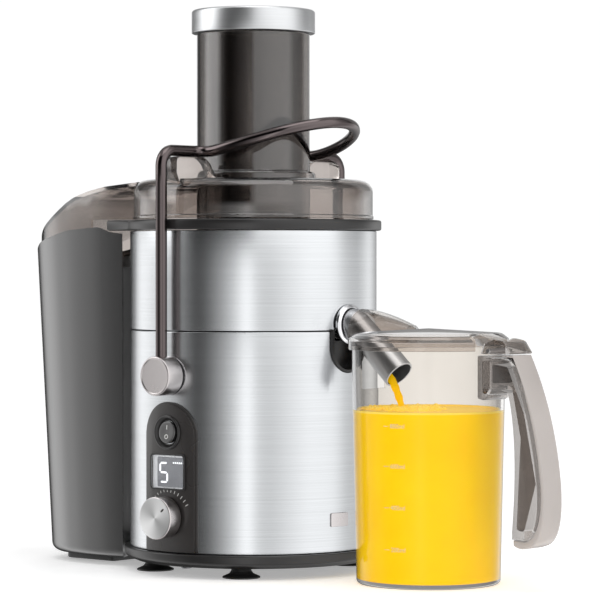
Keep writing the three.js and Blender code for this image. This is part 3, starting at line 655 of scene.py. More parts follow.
skirt = bent_plate("panel_skirt", arched(PANEL_HALF, panel_low.z, panel_high.z), BODY_R + 0.1,
                   PANEL_OUT - 0.9, fascia_plastic)
face = bent_plate("panel_face", arched(PANEL_HALF - PANEL_STEP, panel_low.z,
                                       panel_high.z - PANEL_STEP),
                  BODY_R + 0.3, PANEL_OUT, fascia_plastic)
for plate in (skirt, face):
    carved(plate, front_hole(SWITCH_HOLE, SWITCH_Z), window_hole(WINDOW_WIDE, WINDOW_TALL),
           front_hole(DIAL_HOLE, DIAL_Z))
fitted(skirt, "root", "charcoal_plastic", "control_panel")
fitted(face, "root", "charcoal_plastic")

# ---- Power switch ----
# A round moulded rocker tips in a deep black bezel that snaps into the panel.
# A bar and a ring are printed on it in white.
charcoal = plastic("charcoal", (0.014, 0.013, 0.013), 0.34, Coat_Weight=1.0, Coat_IOR=1.9,
                   Coat_Roughness=0.16)
BEZEL_OUT = -extent("switch_bezel")[0].y
print_white = plastic("printed_white", (0.62, 0.62, 0.60), 0.5)
bezel = turned([(8.9, 90), (11, 90), (11, PANEL_OUT - 1), (13.2, PANEL_OUT - 1),
                (13.4, BEZEL_OUT - 0.8, 0.8), (12, BEZEL_OUT + 0.2, 0.8), (9.8, PANEL_OUT - 1.6, 0.6),
                (8.9, PANEL_OUT - 1.8)], 96)
fitted(placed("switch_ring", on_front(bezel, SWITCH_Z), black_plastic), "root", "black_plastic",
       "switch_bezel")
ROCKER_OUT = -extent("switch_rocker")[0].y
ROCKER_PIVOT = (0, -96, SWITCH_Z)
TIPPED = Matrix.Translation(ROCKER_PIVOT) @ Matrix.Rotation(math.radians(-6), 4, "X") @ (
    Matrix.Translation((0, 96, -SWITCH_Z)))
ROCKER_R, ROCKER_FACE, PRINTED = 8.4, ROCKER_OUT - 1.2, ROCKER_OUT - 0.75
button = turned([(0, 92), (ROCKER_R, 92), (ROCKER_R, ROCKER_OUT - 0.8, 0.9),
                 (5, ROCKER_OUT - 0.9, 3), (0, ROCKER_FACE)], 96, closed=False)
fitted(placed("rocker_button", laid(button, TIPPED @ up(SWITCH_Z) @ OUT_OF_FRONT), charcoal),
       "rocker", "charcoal_plastic", "switch_rocker")
bar_mark = raised([(-0.4, 2.0), (0.4, 2.0), (0.4, 5.2), (-0.4, 5.2)], ROCKER_FACE, PRINTED)
ring_mark = turned([(1.2, ROCKER_FACE), (1.8, ROCKER_FACE), (1.8, PRINTED), (1.2, PRINTED)], 32,
                   (0, -3.6))
for name, mark in (("rocker_bar", bar_mark), ("rocker_ring", ring_mark)):
    sign = placed(name, laid(mark, TIPPED @ up(SWITCH_Z) @ OUT_OF_FRONT), print_white)
    fitted(sign, "rocker", "charcoal_plastic")

# ---- Display ----
# A backlit liquid-crystal panel sits behind a thin clear window in a black frame.
# It shows the speed in seven-bar figures, with a row of marks for the level.
def glowing(name, colour, strength):
    made = plastic(name, colour, 0.3)
    shader = made.node_tree.nodes["Principled BSDF"]
    shader.inputs["Emission Color"].default_value = (*colour, 1)
    shader.inputs["Emission Strength"].default_value = strength
    return made


def smoked(name, colour, rim, roughness=0.03, coat=2.0, ior=1.2):
    """Clear tinted plastic that looks deeper where its surface turns away."""
    values = {"Colour": (*colour, 1), "Roughness": roughness, "Mottle": 0.03, "Depth": 0.0}
    made = finished(name, GRAIN, values, IOR=ior, Transmission_Weight=1.0, Coat_Weight=1.0,
                    Coat_IOR=coat, Coat_Roughness=0.02)
    tree = made.node_tree
    shader = tree.nodes["Principled BSDF"]
    flat = shader.inputs["Base Color"].links[0].from_socket
    facing = wired(tree, "ShaderNodeLayerWeight", {"Blend": 0.5})
    edge = wired(tree, "ShaderNodeMath", {0: facing.outputs["Facing"], 1: 1.7},
                 operation="POWER")
    depth = tree.nodes.new("ShaderNodeMix")
    depth.data_type = "RGBA"
    tree.links.new(edge.outputs[0], depth.inputs["Factor"])
    tree.links.new(flat, depth.inputs["A"])
    depth.inputs["B"].default_value = (*rim, 1)
    tree.links.new(depth.outputs["Result"], shader.inputs["Base Color"])
    return made


backlight = glowing("backlight", (0.52, 0.53, 0.55), 0.5)
screen_grey = glowing("screen_grey", (0.13, 0.135, 0.15), 0.6)
figure_white = glowing("figure_white", (0.95, 0.97, 1.0), 1.0)
window_clear = smoked("window_clear", (0.97, 0.97, 0.97), (0.8, 0.8, 0.8), 0.03, 1.4)


LIGHT_OUT, SCREEN_OUT = 96.8, 97.1
light_plate = raised(rounded_box(16.8, 12.6, 1.6), 94, LIGHT_OUT)
fitted(placed("display_light", on_front(light_plate, WINDOW_Z), backlight), "root", "display",
       "display_module")
grey_plate = raised(rounded_box(14.0, 11.3, 1.0), LIGHT_OUT, SCREEN_OUT)
laid(grey_plate, Matrix.Translation((2.0, -0.2, 0)))
fitted(placed("display_screen", on_front(grey_plate, WINDOW_Z), screen_grey), "root", "display")
SEGMENT, SEGMENT_WIDE, FIGURE_X, FIGURE_Y = 7.2, 1.3, -5.4, -0.6
LONG, WIDE = SEGMENT / 2 - 0.5, SEGMENT_WIDE / 2
bar_outline = [(-LONG, 0), (-LONG + WIDE, -WIDE), (LONG - WIDE, -WIDE), (LONG, 0),
               (LONG - WIDE, WIDE), (-LONG + WIDE, WIDE)]
lit_bars = [(0, 1, 0), (0, 0, 0), (0, -1, 0), (-0.5, 0.5, 90), (0.5, -0.5, 90)]
for number, (across, high, turn) in enumerate(lit_bars):
    bar = raised(bar_outline, SCREEN_OUT, SCREEN_OUT + 0.3)
    spot = Matrix.Translation((FIGURE_X + across * SEGMENT, FIGURE_Y + high * SEGMENT, 0))
    turned_bar = on_front(bar, WINDOW_Z, spot @ Matrix.Rotation(math.radians(turn), 4, "Z"))
    fitted(placed(f"figure_bar_{number + 1}", turned_bar, figure_white), "root", "display")
MARKS_X, MARKS_Y, MARK_STEP = 4.6, 7.0, 2
for number in range(5):
    mark = raised([(-0.5, -0.6), (0.5, -0.6), (0.5, 0.6), (-0.5, 0.6)], SCREEN_OUT,
                  SCREEN_OUT + 0.2)
    spot = Matrix.Translation((MARKS_X + MARK_STEP * number, MARKS_Y, 0))
    fitted(placed(f"speed_mark_{number + 1}", on_front(mark, WINDOW_Z, spot), figure_white),
           "root", "display")
lens = raised(rounded_box(16.4, 12.4, 1.8), PANEL_OUT - 1.2, PANEL_OUT + 0.2, 0.3)
fitted(placed("window_lens", on_front(lens, WINDOW_Z), window_clear), "root", "smoked_plastic",
       "display_window")
bezel_line = raised(rounded_box(18.0, 13.8, 2.6), PANEL_OUT - 1.6, PANEL_OUT + 0.3, 0.3)
window_frame = placed("window_frame", on_front(bezel_line, WINDOW_Z), black_plastic)
carved(window_frame, window_hole(16.7, 12.7))
fitted(window_frame, "root", "charcoal_plastic")

# ---- Speed dial ----
# An aluminium knob, turned on a lathe, with a spun face whose shine in a cross is a painted sheen in
# its colour.
# A small dark dimple points to the speed, and a row of ticks is printed on the panel.
spun_steel = metal("spun_steel", (0.60, 0.565, 0.56), 0.28, 0.05, (30, 30, 30))
knob_low, knob_high = extent("dial_knob")
KNOB_R, KNOB_OUT = knob_high.x, -knob_low.y
spun_face_painted_sheen = bpy.data.materials.new("spun_face_painted_sheen")
spun_face_painted_sheen.use_nodes = True
spun = spun_face_painted_sheen.node_tree
spun_shader = spun.nodes["Principled BSDF"]
spun_shader.inputs["Metallic"].default_value = 1.0
from_dial = wired(spun, "ShaderNodeMapping", {
    "Vector": wired(spun, "ShaderNodeTexCoord").outputs["Object"],
    "Location": (-AXIS_X, -DIAL_Z * MM, 0), "Rotation": (-math.pi / 2, 0, 0)})
# Painted sheen: the face's colour swings lighter and darker twice round the dial's centre, drawing
# the cross of shine into the base colour.
sweep = wired(spun, "ShaderNodeTexGradient", {"Vector": from_dial.outputs[0]},
              gradient_type="RADIAL")
waves = wired(spun, "ShaderNodeMath", {0: sweep.outputs["Fac"], 1: 4 * math.pi},
              operation="MULTIPLY")
swell = wired(spun, "ShaderNodeMath", {0: waves.outputs[0]}, operation="SINE")
painted_sheen = wired(spun, "ShaderNodeMapRange", {"Value": swell.outputs[0], "From Min": -1.0,
                                           "To Min": 0.5, "To Max": 0.95})
painted_sheen_colour = wired(spun, "ShaderNodeCombineColor", {"Red": painted_sheen.outputs[0],
                                                      "Green": painted_sheen.outputs[0],
                                                      "Blue": painted_sheen.outputs[0]})
spun.links.new(painted_sheen_colour.outputs[0], spun_shader.inputs["Base Color"])
fine_rings = wired(spun, "ShaderNodeTexWave", {"Vector": from_dial.outputs[0], "Scale": 900.0},
                   wave_type="RINGS", rings_direction="Z")
ring_bump = wired(spun, "ShaderNodeBump", {"Height": fine_rings.outputs["Fac"], "Strength": 0.1,
                                           "Distance": 0.0001})
spun.links.new(ring_bump.outputs[0], spun_shader.inputs["Normal"])
spun_shader.inputs["Roughness"].default_value = 0.3
knob = turned([(0, PANEL_OUT + 2.8), (KNOB_R - 0.6, PANEL_OUT + 1.6, 0.6), (KNOB_R, KNOB_OUT, 1.0),
               (0, KNOB_OUT)], 128, closed=False)
knob = placed("knob", on_front(knob, DIAL_Z), spun_steel)
knob.data.materials.append(spun_face_painted_sheen)
for polygon in knob.data.polygons:
    polygon.material_index = 1 if polygon.normal.y < -0.95 else 0
POINTER_TURN, POINTER_AT = math.radians(51), 10.0


def pointer_bead(wide, long, deep):
    """A long bead on the knob's face, for the dimple and for the paint in it."""
    bead = bmesh.new()
    bmesh.ops.create_uvsphere(bead, u_segments=24, v_segments=12, radius=1)
    spot = Matrix.Translation((POINTER_AT * math.sin(POINTER_TURN),
                               POINTER_AT * math.cos(POINTER_TURN), KNOB_OUT))
    return on_front(bead, DIAL_Z, spot @ Matrix.Rotation(-POINTER_TURN, 4, "Z")
                    @ Matrix.Diagonal((wide, long, deep, 1)))


carved(knob, placed("dimple", pointer_bead(0.9, 2.2, 0.6), spun_steel))
fitted(knob, "dial", "polished_steel", "dial_knob")
fitted(placed("pointer_mark", pointer_bead(0.7, 1.9, 0.25), black_plastic), "dial",
       "polished_steel")
TICKS, TICK_SWEEP, TICK_R, TICK_HALF = 13, 124, 19.2, 0.25
for number in range(TICKS):
    turn = math.radians(-TICK_SWEEP / 2 + TICK_SWEEP * number / (TICKS - 1))
    tick_end = TICK_R + 1.2 + 0.16 * number
    tick = raised([(-TICK_HALF, TICK_R), (TICK_HALF, TICK_R), (TICK_HALF, tick_end),
                   (-TICK_HALF, tick_end)], PANEL_OUT - 1.5, PANEL_OUT - 0.35)
    on_front(tick, DIAL_Z, Matrix.Rotation(-turn, 4, "Z"))
    depth = PANEL_OUT - math.sqrt(PANEL_OUT ** 2 - (20 * math.sin(turn)) ** 2)
    bmesh.ops.translate(tick, vec=(0, depth - 0.42, 0), verts=tick.verts)
    fitted(placed(f"dial_tick_{number + 1}", tick, print_white), "root", "charcoal_plastic")

# ---- Badge plate ----
# A small blank plate of pressed metal, rounded at its corners.
# It is stuck low on the sleeve, just below the spout.
BADGE_HALF, BADGE_TALL, BADGE_UP, BADGE_TURN = 9, 5.5, 43.5 * MM, math.radians(90 - 6)
badge = bent_plate("badge", rounded_box(BADGE_HALF, BADGE_TALL, 1.4), BODY_R + 0.1,
                   BODY_R + 1.1, spun_steel, 0.3)
badge.data.transform(Matrix.Translation((AXIS_X, 0, BADGE_UP)) @ Matrix.Rotation(
    BADGE_TURN, 4, "Z") @ Matrix.Translation((-AXIS_X, 0, 0)))
fitted(badge, "root", "brushed_steel", "badge_plate")

# ---- Cord gland ----
# A soft rubber bush at the back of the base, where the mains lead would come out.
# It is moulded in one piece and pulled into a hole in the sleeve.
OUT_OF_BACK = Matrix.Rotation(-math.pi / 2, 4, "X")
gland = turned([(4, 90), (7, 90), (7, 97.4), (10, 97.4, 0.6), (10, 101, 0.8), (8, 101.6, 0.5),
                (7.6, 108, 0.8), (4, 108)], 64)
gland_low, gland_high = extent("cord_gland")
GLAND_Z = (gland_low.z + gland_high.z) / 2
fitted(placed("gland_bush", laid(gland, up(GLAND_Z) @ OUT_OF_BACK), rubber), "root", "rubber",
       "cord_gland")

# ---- Lid ----
# One clear smoked moulding: a dome with the feed chute through it, a hood that carries the pulp
# over to the container, and a rib on each side that the locking arm presses down.
smoked_lid = smoked("smoked_lid", (0.54, 0.49, 0.46), (0.14, 0.12, 0.11), 0.03, 1.65)
LID_Z, CHUTE_TOP = 274.4, extent("juicer_lid")[1].z
LID_R, COLLAR_R, CHUTE_R, CHUTE_BORE, LID_TOP, WALL = 94.0, 48.6, 44.6, 42.1, 305.0, 2.5
LID_LIP, SHOULDER, COLLAR_Z, CHUTE_LOW = 0.6, 9, 311, 246
dome = turned([(LID_R - WALL, LID_Z), (LID_R + LID_LIP, LID_Z, 0.4),
               (LID_R + LID_LIP, LID_Z + 2.2, 0.6), (LID_R, LID_Z + 3),
               (LID_R, LID_TOP, SHOULDER), (COLLAR_R + 0.6, LID_TOP, 1.5),
               (COLLAR_R, COLLAR_Z, 2.5), (CHUTE_R, COLLAR_Z + 1, 1.0), (CHUTE_R, CHUTE_TOP, 0.8),
               (CHUTE_BORE, CHUTE_TOP, 0.8), (CHUTE_BORE, CHUTE_LOW, 0.8),
               (CHUTE_R, CHUTE_LOW, 0.8), (CHUTE_R, LID_TOP - WALL, 2),
               (LID_R - WALL, LID_TOP - WALL, SHOULDER - WALL)], 160)
lid = placed("lid_moulding", dome, smoked_lid)
FAR_END, HOOD_INSET, HOOD_NEAR = extent("pulp_container")[0].x, 4.2, -46
HOOD_SHOULDER = 5
HOOD_LINE = [(-46, 304), (-64, 303.6), (-94, 300.4), (-110, 297), (-125, 292.8), (-136, 288),
             (-146, 282.4), (-158, 276.2), (-170, 270), (-188, 260)]


def container_plan(inset, near):
    """The container in plan, or a line inside it: gently bowed sides and round far corners."""
    side = [(-203.4, 24), (-205, 0), (-203.4, -24), (-198, -41), (-188, -54.5), (-172, -66.5),
            (-152, -74), (-135, -77), (-119, -78), (-104, -77.2), (-88, -74.6), (-68, -70),
            (-44, -63.5), (-20, -57)]
    line = []
    for i in range(1, len(side) - 2):
        a, b, c, d = [Vector(p) for p in side[i - 1:i + 3]]
        for k in range(5):
            t = k / 5
            spot = 0.5 * (2 * b + (c - a) * t + (2 * a - 5 * b + 4 * c - d) * t ** 2
                          + (3 * b - a - 3 * c + d) * t ** 3)
            way = (0.5 * ((c - a) + 2 * (2 * a - 5 * b + 4 * c - d) * t
                          + 3 * (3 * b - a - 3 * c + d) * t ** 2)).normalized()
            spot += Vector((-way.y, way.x)) * inset
            if spot.x < near - 0.5:
                line.append(tuple(spot))
    slope = (line[-1][1] - line[-2][1]) / (line[-1][0] - line[-2][0])
    line.append((near, line[-1][1] + slope * (near - line[-1][0])))
    return line + [(x, -y) for x, y in line[:0:-1]]


def hood_form(name, inset):
    """The hood's outer form, or the room inside it: its outline from the side, cut to its plan."""
    end = FAR_END + HOOD_INSET + inset
    side = [(x, z - inset) for x, z in HOOD_LINE] + [(end, 249 - inset)]
    if inset:
        side += [(end, 190), (HOOD_NEAR, 190)]
    else:
        side += [(end, 243), (-107, 262), (-107, LID_Z), (HOOD_NEAR, LID_Z)]
    made = placed(name, laid(raised(side, -100, 100), SIDEWAYS), smoked_lid)
    carved(made, placed("plan", raised(container_plan(HOOD_INSET + inset, HOOD_NEAR), 180, 330),
                        smoked_lid), way="INTERSECT")
    return rimmed(made, HOOD_SHOULDER - inset, 4, 50)


def rib_form(name, side):
    outline = softened([(93, 300), (97, 309, 6), (97, 321.4, 5), (62, 321.4, 14), (49.5, 303)], 8)
    bm = raised(outline, -8, 8, 1.2)
    return placed(name, laid(bm, Matrix.Rotation(side * math.pi / 2, 4, "Z") @ SIDEWAYS),
                  smoked_lid)


SIDEWAYS = Matrix.Rotation(math.pi / 2, 4, "X")  # an outline's second value becomes height
dome_room = turned([(CHUTE_R, 200), (LID_R - WALL, 200),
                    (LID_R - WALL, LID_TOP - WALL, SHOULDER - WALL),
                    (CHUTE_R, LID_TOP - WALL)], 160)
hood = carved(hood_form("hood", 0), placed("dome_room", dome_room, smoked_lid))
carved(lid, hood, way="UNION")
carved(lid, rib_form("rib", 1), rib_form("rib", -1), way="UNION")
carved(lid, hood_form("hood_room", WALL))
fitted(lid, "root", "smoked_plastic", "juicer_lid")

# ---- Food pusher ----
# A hollow cup of dark smoked plastic slides in the chute.
# A cap of brushed steel is pressed over its top and closes it.
smoked_chute = smoked("smoked_chute", (0.12, 0.115, 0.11), (0.03, 0.027, 0.026), 0.03, 1.4)
PUSHER_R, PUSHER_Z, CAP_R = 41.3, 262, 48.6
cup = turned([(0, PUSHER_Z), (PUSHER_R, PUSHER_Z, 3), (PUSHER_R, CHUTE_TOP),
              (PUSHER_R - WALL, CHUTE_TOP), (PUSHER_R - WALL, PUSHER_Z + WALL, 2),
              (0, PUSHER_Z + WALL)], 128, closed=False)
fitted(placed("pusher_cup", cup, smoked_chute), "pusher", "smoked_plastic", "food_pusher")
cap_low, cap_high = extent("pusher_cap")
cap = turned([(0, cap_low.z), (CAP_R, cap_low.z, 0.8), (CAP_R, cap_high.z - 0.3, 2.2),
              (CAP_R - 5, cap_high.z - 0.2, 0.6), (CAP_R - 6, cap_high.z - 0.8, 0.6),
              (0, cap_high.z - 0.2)], 160, closed=False)
cap_steel = metal("cap_steel", (0.62, 0.63, 0.64), 0.36, 0.08, (9, 9, 1800))
fitted(placed("cap", cap, cap_steel), "pusher", "brushed_steel", "pusher_cap")

# ---- Locking arm ----
# One bent bar of dark chromed steel. It turns on two round feet, hooks over the lid's ribs, and
# loops out behind the chute as a handle.
arm_steel = metal("arm_steel", (0.12, 0.10, 0.10), 0.14, 0.04, (40, 40, 40))
ARM_Y, ARM_R, ARM_Z, BAR_Z, LOOP_TOP = 106, 4.4, 154, 326, 348
BAR_BEND, LOOP_BEND, LOOP_HALF, LOOP_REACH = 12, 10, 62, 78
half_run = [(0, -ARM_Y, z) for z in (ARM_Z + 2, 200, 250, 300)]
for step in range(9):
    angle = math.radians(90 * step / 8)
    half_run.append((0, -ARM_Y + BAR_BEND * (1 - math.cos(angle)),
                     BAR_Z - BAR_BEND * (1 - math.sin(angle))))
for step in range(7):
    angle = math.radians(90 * step / 6)
    half_run.append((LOOP_BEND * (1 - math.cos(angle)),
                     -LOOP_HALF - LOOP_BEND * (1 - math.sin(angle)), BAR_Z))
for step in range(1, 29):
    angle = math.radians(90 * step / 28)
    half_run.append((LOOP_BEND + LOOP_REACH * math.sin(angle), -LOOP_HALF * math.cos(angle),
                     BAR_Z + (LOOP_TOP - BAR_Z) * math.sin(angle) ** 1.3))
whole_run = half_run + [(x, -y, z) for x, y, z in half_run[-2::-1]]


def tube(name, points, radii, material, sides=24):
    """A round bar along a line, as a mesh. The radii are one for all points, or one for each."""
    line = bpy.data.curves.new(name, "CURVE")
    line.dimensions, line.use_fill_caps = "3D", True
    line.bevel_depth, line.bevel_resolution = MM, sides // 4
    run = line.splines.new("POLY")
    run.points.add(len(points) - 1)
    for i, (x, y, z) in enumerate(points):
        run.points[i].co = (x * MM + AXIS_X, y * MM, z * MM, 1)
        run.points[i].radius = radii[i] if isinstance(radii, list) else radii
    holder = bpy.data.objects.new(name, line)
    bpy.context.collection.objects.link(holder)
    mesh = bpy.data.meshes.new_from_object(
        holder.evaluated_get(bpy.context.evaluated_depsgraph_get()))
    bpy.data.objects.remove(holder)
    bm = bmesh.new()
    bm.from_mesh(mesh)
    bmesh.ops.remove_doubles(bm, verts=bm.verts, dist=1e-6)
    bmesh.ops.recalc_face_normals(bm, faces=bm.faces)
    bmesh.ops.translate(bm, vec=(-AXIS_X, 0, 0), verts=bm.verts)
    bmesh.ops.scale(bm, vec=(1 / MM, 1 / MM, 1 / MM), verts=bm.verts)
    bpy.data.meshes.remove(mesh)
    return placed(name, bm, material, 45)


fitted(tube("arm_bar", whole_run, ARM_R, arm_steel), "arm", "arm_wire", "locking_arm")
DISC_R, DISC_IN, DISC_OUT = 15, 97.6, 114
for side, name, facing in ((-1, "front", OUT_OF_FRONT), (1, "back", OUT_OF_BACK)):
    foot_disc = turned([(0, DISC_IN), (DISC_R, DISC_IN, 0.8), (DISC_R, DISC_OUT, 1.0),
                        (DISC_R - 1.4, DISC_OUT, 0.3), (DISC_R - 2.0, DISC_OUT - 0.5, 0.3),
                        (0, DISC_OUT - 0.4)], 96, closed=False)
    fitted(placed(f"arm_foot_{name}", laid(foot_disc, up(ARM_Z) @ facing), spun_steel), "arm",
           "polished_steel", f"arm_disc_{name}")

# ---- Pulp container ----
# A deep dark bin, drawn in towards its foot, with a hollow side that fits round the body. Its rim
# rises towards the machine and tucks under the black collar.
CLEAR_R, BIN_LOW, BIN_RIM, DRAFT, DRAFT_LINE, BIN_NEAR = 103.5, 6.5, 270, 0.875, -100, -62
HOOD_WAY, FOOT_HALF = 65, 45


def bin_form(name, inset, low, round_foot):
    """The container's outline raised and tapered, hollowed where the body stands."""
    bm = raised(container_plan(inset, BIN_NEAR - inset), low, 290)
    for vert in bm.verts:
        size = 1 - (1 - DRAFT) * (BIN_RIM - vert.co.z) / (BIN_RIM - BIN_LOW)
        vert.co.x = DRAFT_LINE + (vert.co.x - DRAFT_LINE) * size
        vert.co.y *= size
    foot = [e for e in bm.edges if max(v.co.z for v in e.verts) < low + 1]
    bmesh.ops.bevel(bm, geom=foot, offset=round_foot, segments=6, profile=0.5, affect="EDGES",
                    material=-1)
    made = placed(name, bm, charcoal)
    room = turned([(0, -10), (CLEAR_R + inset, -10), (CLEAR_R + inset, 330), (0, 330)], 256,
                  closed=False)
    return carved(made, placed("body_room", room, charcoal))


def rim_cutter():
    line = softened([(-260, 230), (FAR_END - 1, 244.6), (-170, 257.5, 60), (-130, 266, 60),
                     (-97, 268.5, 12), (-86, 264.4, 8), (-67, 262), (-40, 262), (-40, 320),
                     (-260, 320)], 8)
    return placed("rim_cutter", laid(raised(line, -150, 150), SIDEWAYS), charcoal)


pulp_bin = bin_form("pulp_bin", 0, BIN_LOW, 7)
carved(pulp_bin, bin_form("bin_room", WALL, BIN_LOW + WALL, 5), rim_cutter(),
       placed("hood_way", raised([(-130, -HOOD_WAY), (-40, -HOOD_WAY), (-40, HOOD_WAY),
                                  (-130, HOOD_WAY)], 237, 320), charcoal))
rimmed(pulp_bin, 0.7, 2, 60)
bin_foot = raised(softened([(-166, -FOOT_HALF, 8), (-110, -FOOT_HALF, 3), (-110, FOOT_HALF, 3),
                            (-166, FOOT_HALF, 8)]), 0.8, BIN_LOW + 1, 1)
fitted(pulp_bin, "container", "charcoal_plastic", "pulp_container")
fitted(placed("bin_foot", bin_foot, rubber), "container", "charcoal_plastic")

# ---- Jug ----
# A tall beaker moulded in clear smoked plastic.
# Its volume marks stand a little proud of the side that faces the user.
smoked_jug = smoked("smoked_jug", (0.90, 0.87, 0.83), (0.10, 0.085, 0.075), 0.02, 1.2, 1.1)
JUG_X, JUG_R, JUG_BASE_R, JUG_TOP, JUG_FLOOR = 175.0, 58.0, 54.0, 178.0, 3.0
beaker_wall = turned([(0, 0.6), (JUG_BASE_R - 6, 0.6, 1), (JUG_BASE_R - 4, 0, 1),
                      (JUG_BASE_R, 0, 3), (JUG_R, JUG_TOP, 0.6), (JUG_R - WALL, JUG_TOP, 0.6),
                      (JUG_BASE_R - WALL, JUG_FLOOR, 4), (0, JUG_FLOOR)], 160, closed=False)
at_jug = Matrix.Translation((JUG_X, 0, 0))
beaker = placed("beaker", laid(beaker_wall, at_jug), smoked_jug)
carved(beaker, placed("spout_way", raised([(JUG_X - 75, -15), (JUG_X - 40, -15),
                                           (JUG_X - 40, 15), (JUG_X - 75, 15)], 143, 220),
                      smoked_jug))
fitted(beaker, "jug", "smoked_plastic", "jug_body")
mark_clear = plastic("moulded_mark", (0.80, 0.76, 0.70), 0.3, Alpha=0.4)


def wrapped(bm, turn, z):
    """Bends a flat mark round the beaker's side. Turn is in degrees round from the right."""
    for vert in bm.verts:
        here = z + vert.co.y
        radius = JUG_BASE_R + (JUG_R - JUG_BASE_R) * here / JUG_TOP + vert.co.z
        angle = math.radians(turn) + vert.co.x / radius
        vert.co = (JUG_X + radius * math.cos(angle), radius * math.sin(angle), here)
    return bm


def lettering(words, height):
    """Plain figures as a mesh of a given height, centred."""
    text = bpy.data.curves.new("figures", "FONT")
    text.body, text.size, text.align_x, text.align_y = words, height, "CENTER", "CENTER"
    text.extrude = 0.1
    holder = bpy.data.objects.new("figures", text)
    bpy.context.collection.objects.link(holder)
    mesh = bpy.data.meshes.new_from_object(
        holder.evaluated_get(bpy.context.evaluated_depsgraph_get()))
    bpy.data.objects.remove(holder)
    bm = bmesh.new()
    bm.from_mesh(mesh)
    bpy.data.meshes.remove(mesh)
    bmesh.ops.remove_doubles(bm, verts=bm.verts, dist=1e-4)
    return bm


MARK_TURN = -76
MARK_HEIGHTS, MARK_ML, DASH_FROM, DASH_TO, DASH_HALF = (29, 60, 90.5, 120), 200, -11.7, -7.3, 0.2
for number, z in enumerate(MARK_HEIGHTS):
    dash = raised([(DASH_FROM, -DASH_HALF), (DASH_TO, -DASH_HALF), (DASH_TO, DASH_HALF),
                   (DASH_FROM, DASH_HALF)], -0.1, 0.2)
    fitted(placed(f"level_dash_{number + 1}", wrapped(dash, MARK_TURN, z), mark_clear), "jug",
           "smoked_plastic")
    figures = lettering(f"{MARK_ML * (number + 1)}ml", 4.8)
    fitted(placed(f"level_figures_{number + 1}", wrapped(figures, MARK_TURN, z), mark_clear),
           "jug", "smoked_plastic")

# ---- Jug handle ----
# A channel of clear smoked plastic is clipped inside a broad satin band.
# A boxed bracket joins it to the beaker, and two ears above it hold the lid's pin.
HANDLE_TOP = 172.5
satin_band = plastic("satin_band", (0.50, 0.455, 0.43), 0.22)
smoked_handle = smoked("smoked_handle", (0.36, 0.325, 0.30), (0.10, 0.085, 0.075), 0.03, 1.5)


def quadratic(start, pull, end, steps=12):
    return [tuple((1 - t) ** 2 * Vector(start) + 2 * t * (1 - t) * Vector(pull)
                  + t * t * Vector(end)) for t in [k / steps for k in range(1, steps + 1)]]


outer_line = [(262, HANDLE_TOP)] + quadratic((262, HANDLE_TOP), (284, 130), (289, 78)) + (
    quadratic((289, 78), (292, 36), (275, 33))) + quadratic((275, 33), (268, 30), (262, 34), 5)
inner_line = quadratic((258, 146), (268, 110), (262, 44))
band_inside = [(261, 169.4)] + quadratic((261, 169.4), (280.8, 129), (285.8, 78)) + (
    quadratic((285.8, 78), (288, 42), (272.5, 37.4)))
band_plan = outer_line + [(262, 38)] + band_inside[::-1] + [(255, 170), (255, HANDLE_TOP)]
channel_plan = [(236, HANDLE_TOP - 2), (236, 148), (258, 145)] + inner_line + (
    [(262, 38.6), (272, 38)] + [(x - 0.4, z - 0.2) for x, z in band_inside[-2::-1]]
    + [(254.5, 169.6), (254.5, 170.5)])


def handle_part(name, outline, half, bevel, material):
    return placed(name, laid(raised(outline, -half, half, bevel), SIDEWAYS), material)


band = handle_part("handle_band", band_plan, 11.6, 1.3, satin_band)
fitted(band, "jug", "charcoal_plastic", "jug_handle")
channel = handle_part("handle_channel", channel_plan, 13.8, 1.5, smoked_handle)
carved(channel, handle_part("channel_room", softened([
    (243, 166, 2), (243, 152, 2), (261, 150, 3), (269, 112), (265.5, 46, 2), (272, 44, 3),
    (282.4, 80), (272, 130), (257, 164, 3)]), 11.2, 0, smoked_handle))
fitted(channel, "jug", "smoked_plastic")
bracket = handle_part("bracket", softened([(229, 172), (229, 141, 2), (238, 138.5, 5),
                                           (244, 147, 4), (244, 172)]), 14, 1.2, smoked_handle)
jug_room = turned([(0, 100), (JUG_R + 0.3, 100), (JUG_R + 0.3, 200), (0, 200)], 160, closed=False)
carved(bracket, placed("jug_room", laid(jug_room, at_jug), smoked_handle),
       handle_part("bracket_room", softened([(234.5, 168, 1), (234.5, 145, 2), (237.6, 143, 2),
                                             (241.5, 149, 2), (241.5, 168, 1)]), 11.6, 0,
                   smoked_handle))
fitted(bracket, "jug", "smoked_plastic")
EAR_PLAN = softened([(234, 173.2), (236.5, 180.5, 4), (245, 184.6, 6), (255, 183.0, 6),
                     (262, 173.2, 1)], 6)
ears = handle_part("hinge_cover", EAR_PLAN, 14, 1.0, smoked_handle)
carved(ears, handle_part("hinge_room", [(220, 160), (255, 160), (255, 200), (220, 200)], 10.9, 0,
                         smoked_handle))
fitted(ears, "jug", "smoked_plastic")

# ---- Jug lid ----
# A shallow dome of clear smoked plastic swings up on a pin in the handle.
# An arched hood takes in the spout pipe.
smoked_cover = smoked("smoked_cover", (0.66, 0.61, 0.57), (0.10, 0.085, 0.075), 0.02, 1.3, 1.1)
jug_cover = turned([(0, 188.8), (JUG_R - 4, 185.6, 4), (JUG_R + 0.6, 181.4, 0.8),
                    (JUG_R + 0.6, 175), (JUG_R + 2.4, 175, 0.6), (JUG_R + 2.4, 183.4, 2.2),
                    (JUG_R - 3, 187.6, 6), (0, 191)], 160, closed=False)
cover = placed("jug_cover", laid(jug_cover, at_jug), smoked_cover)


def boxed(name, low, high, material):
    bm = raised([(low[0], low[1]), (high[0], low[1]), (high[0], high[1]), (low[0], high[1])],
                low[2], high[2])
    return placed(name, bm, material)


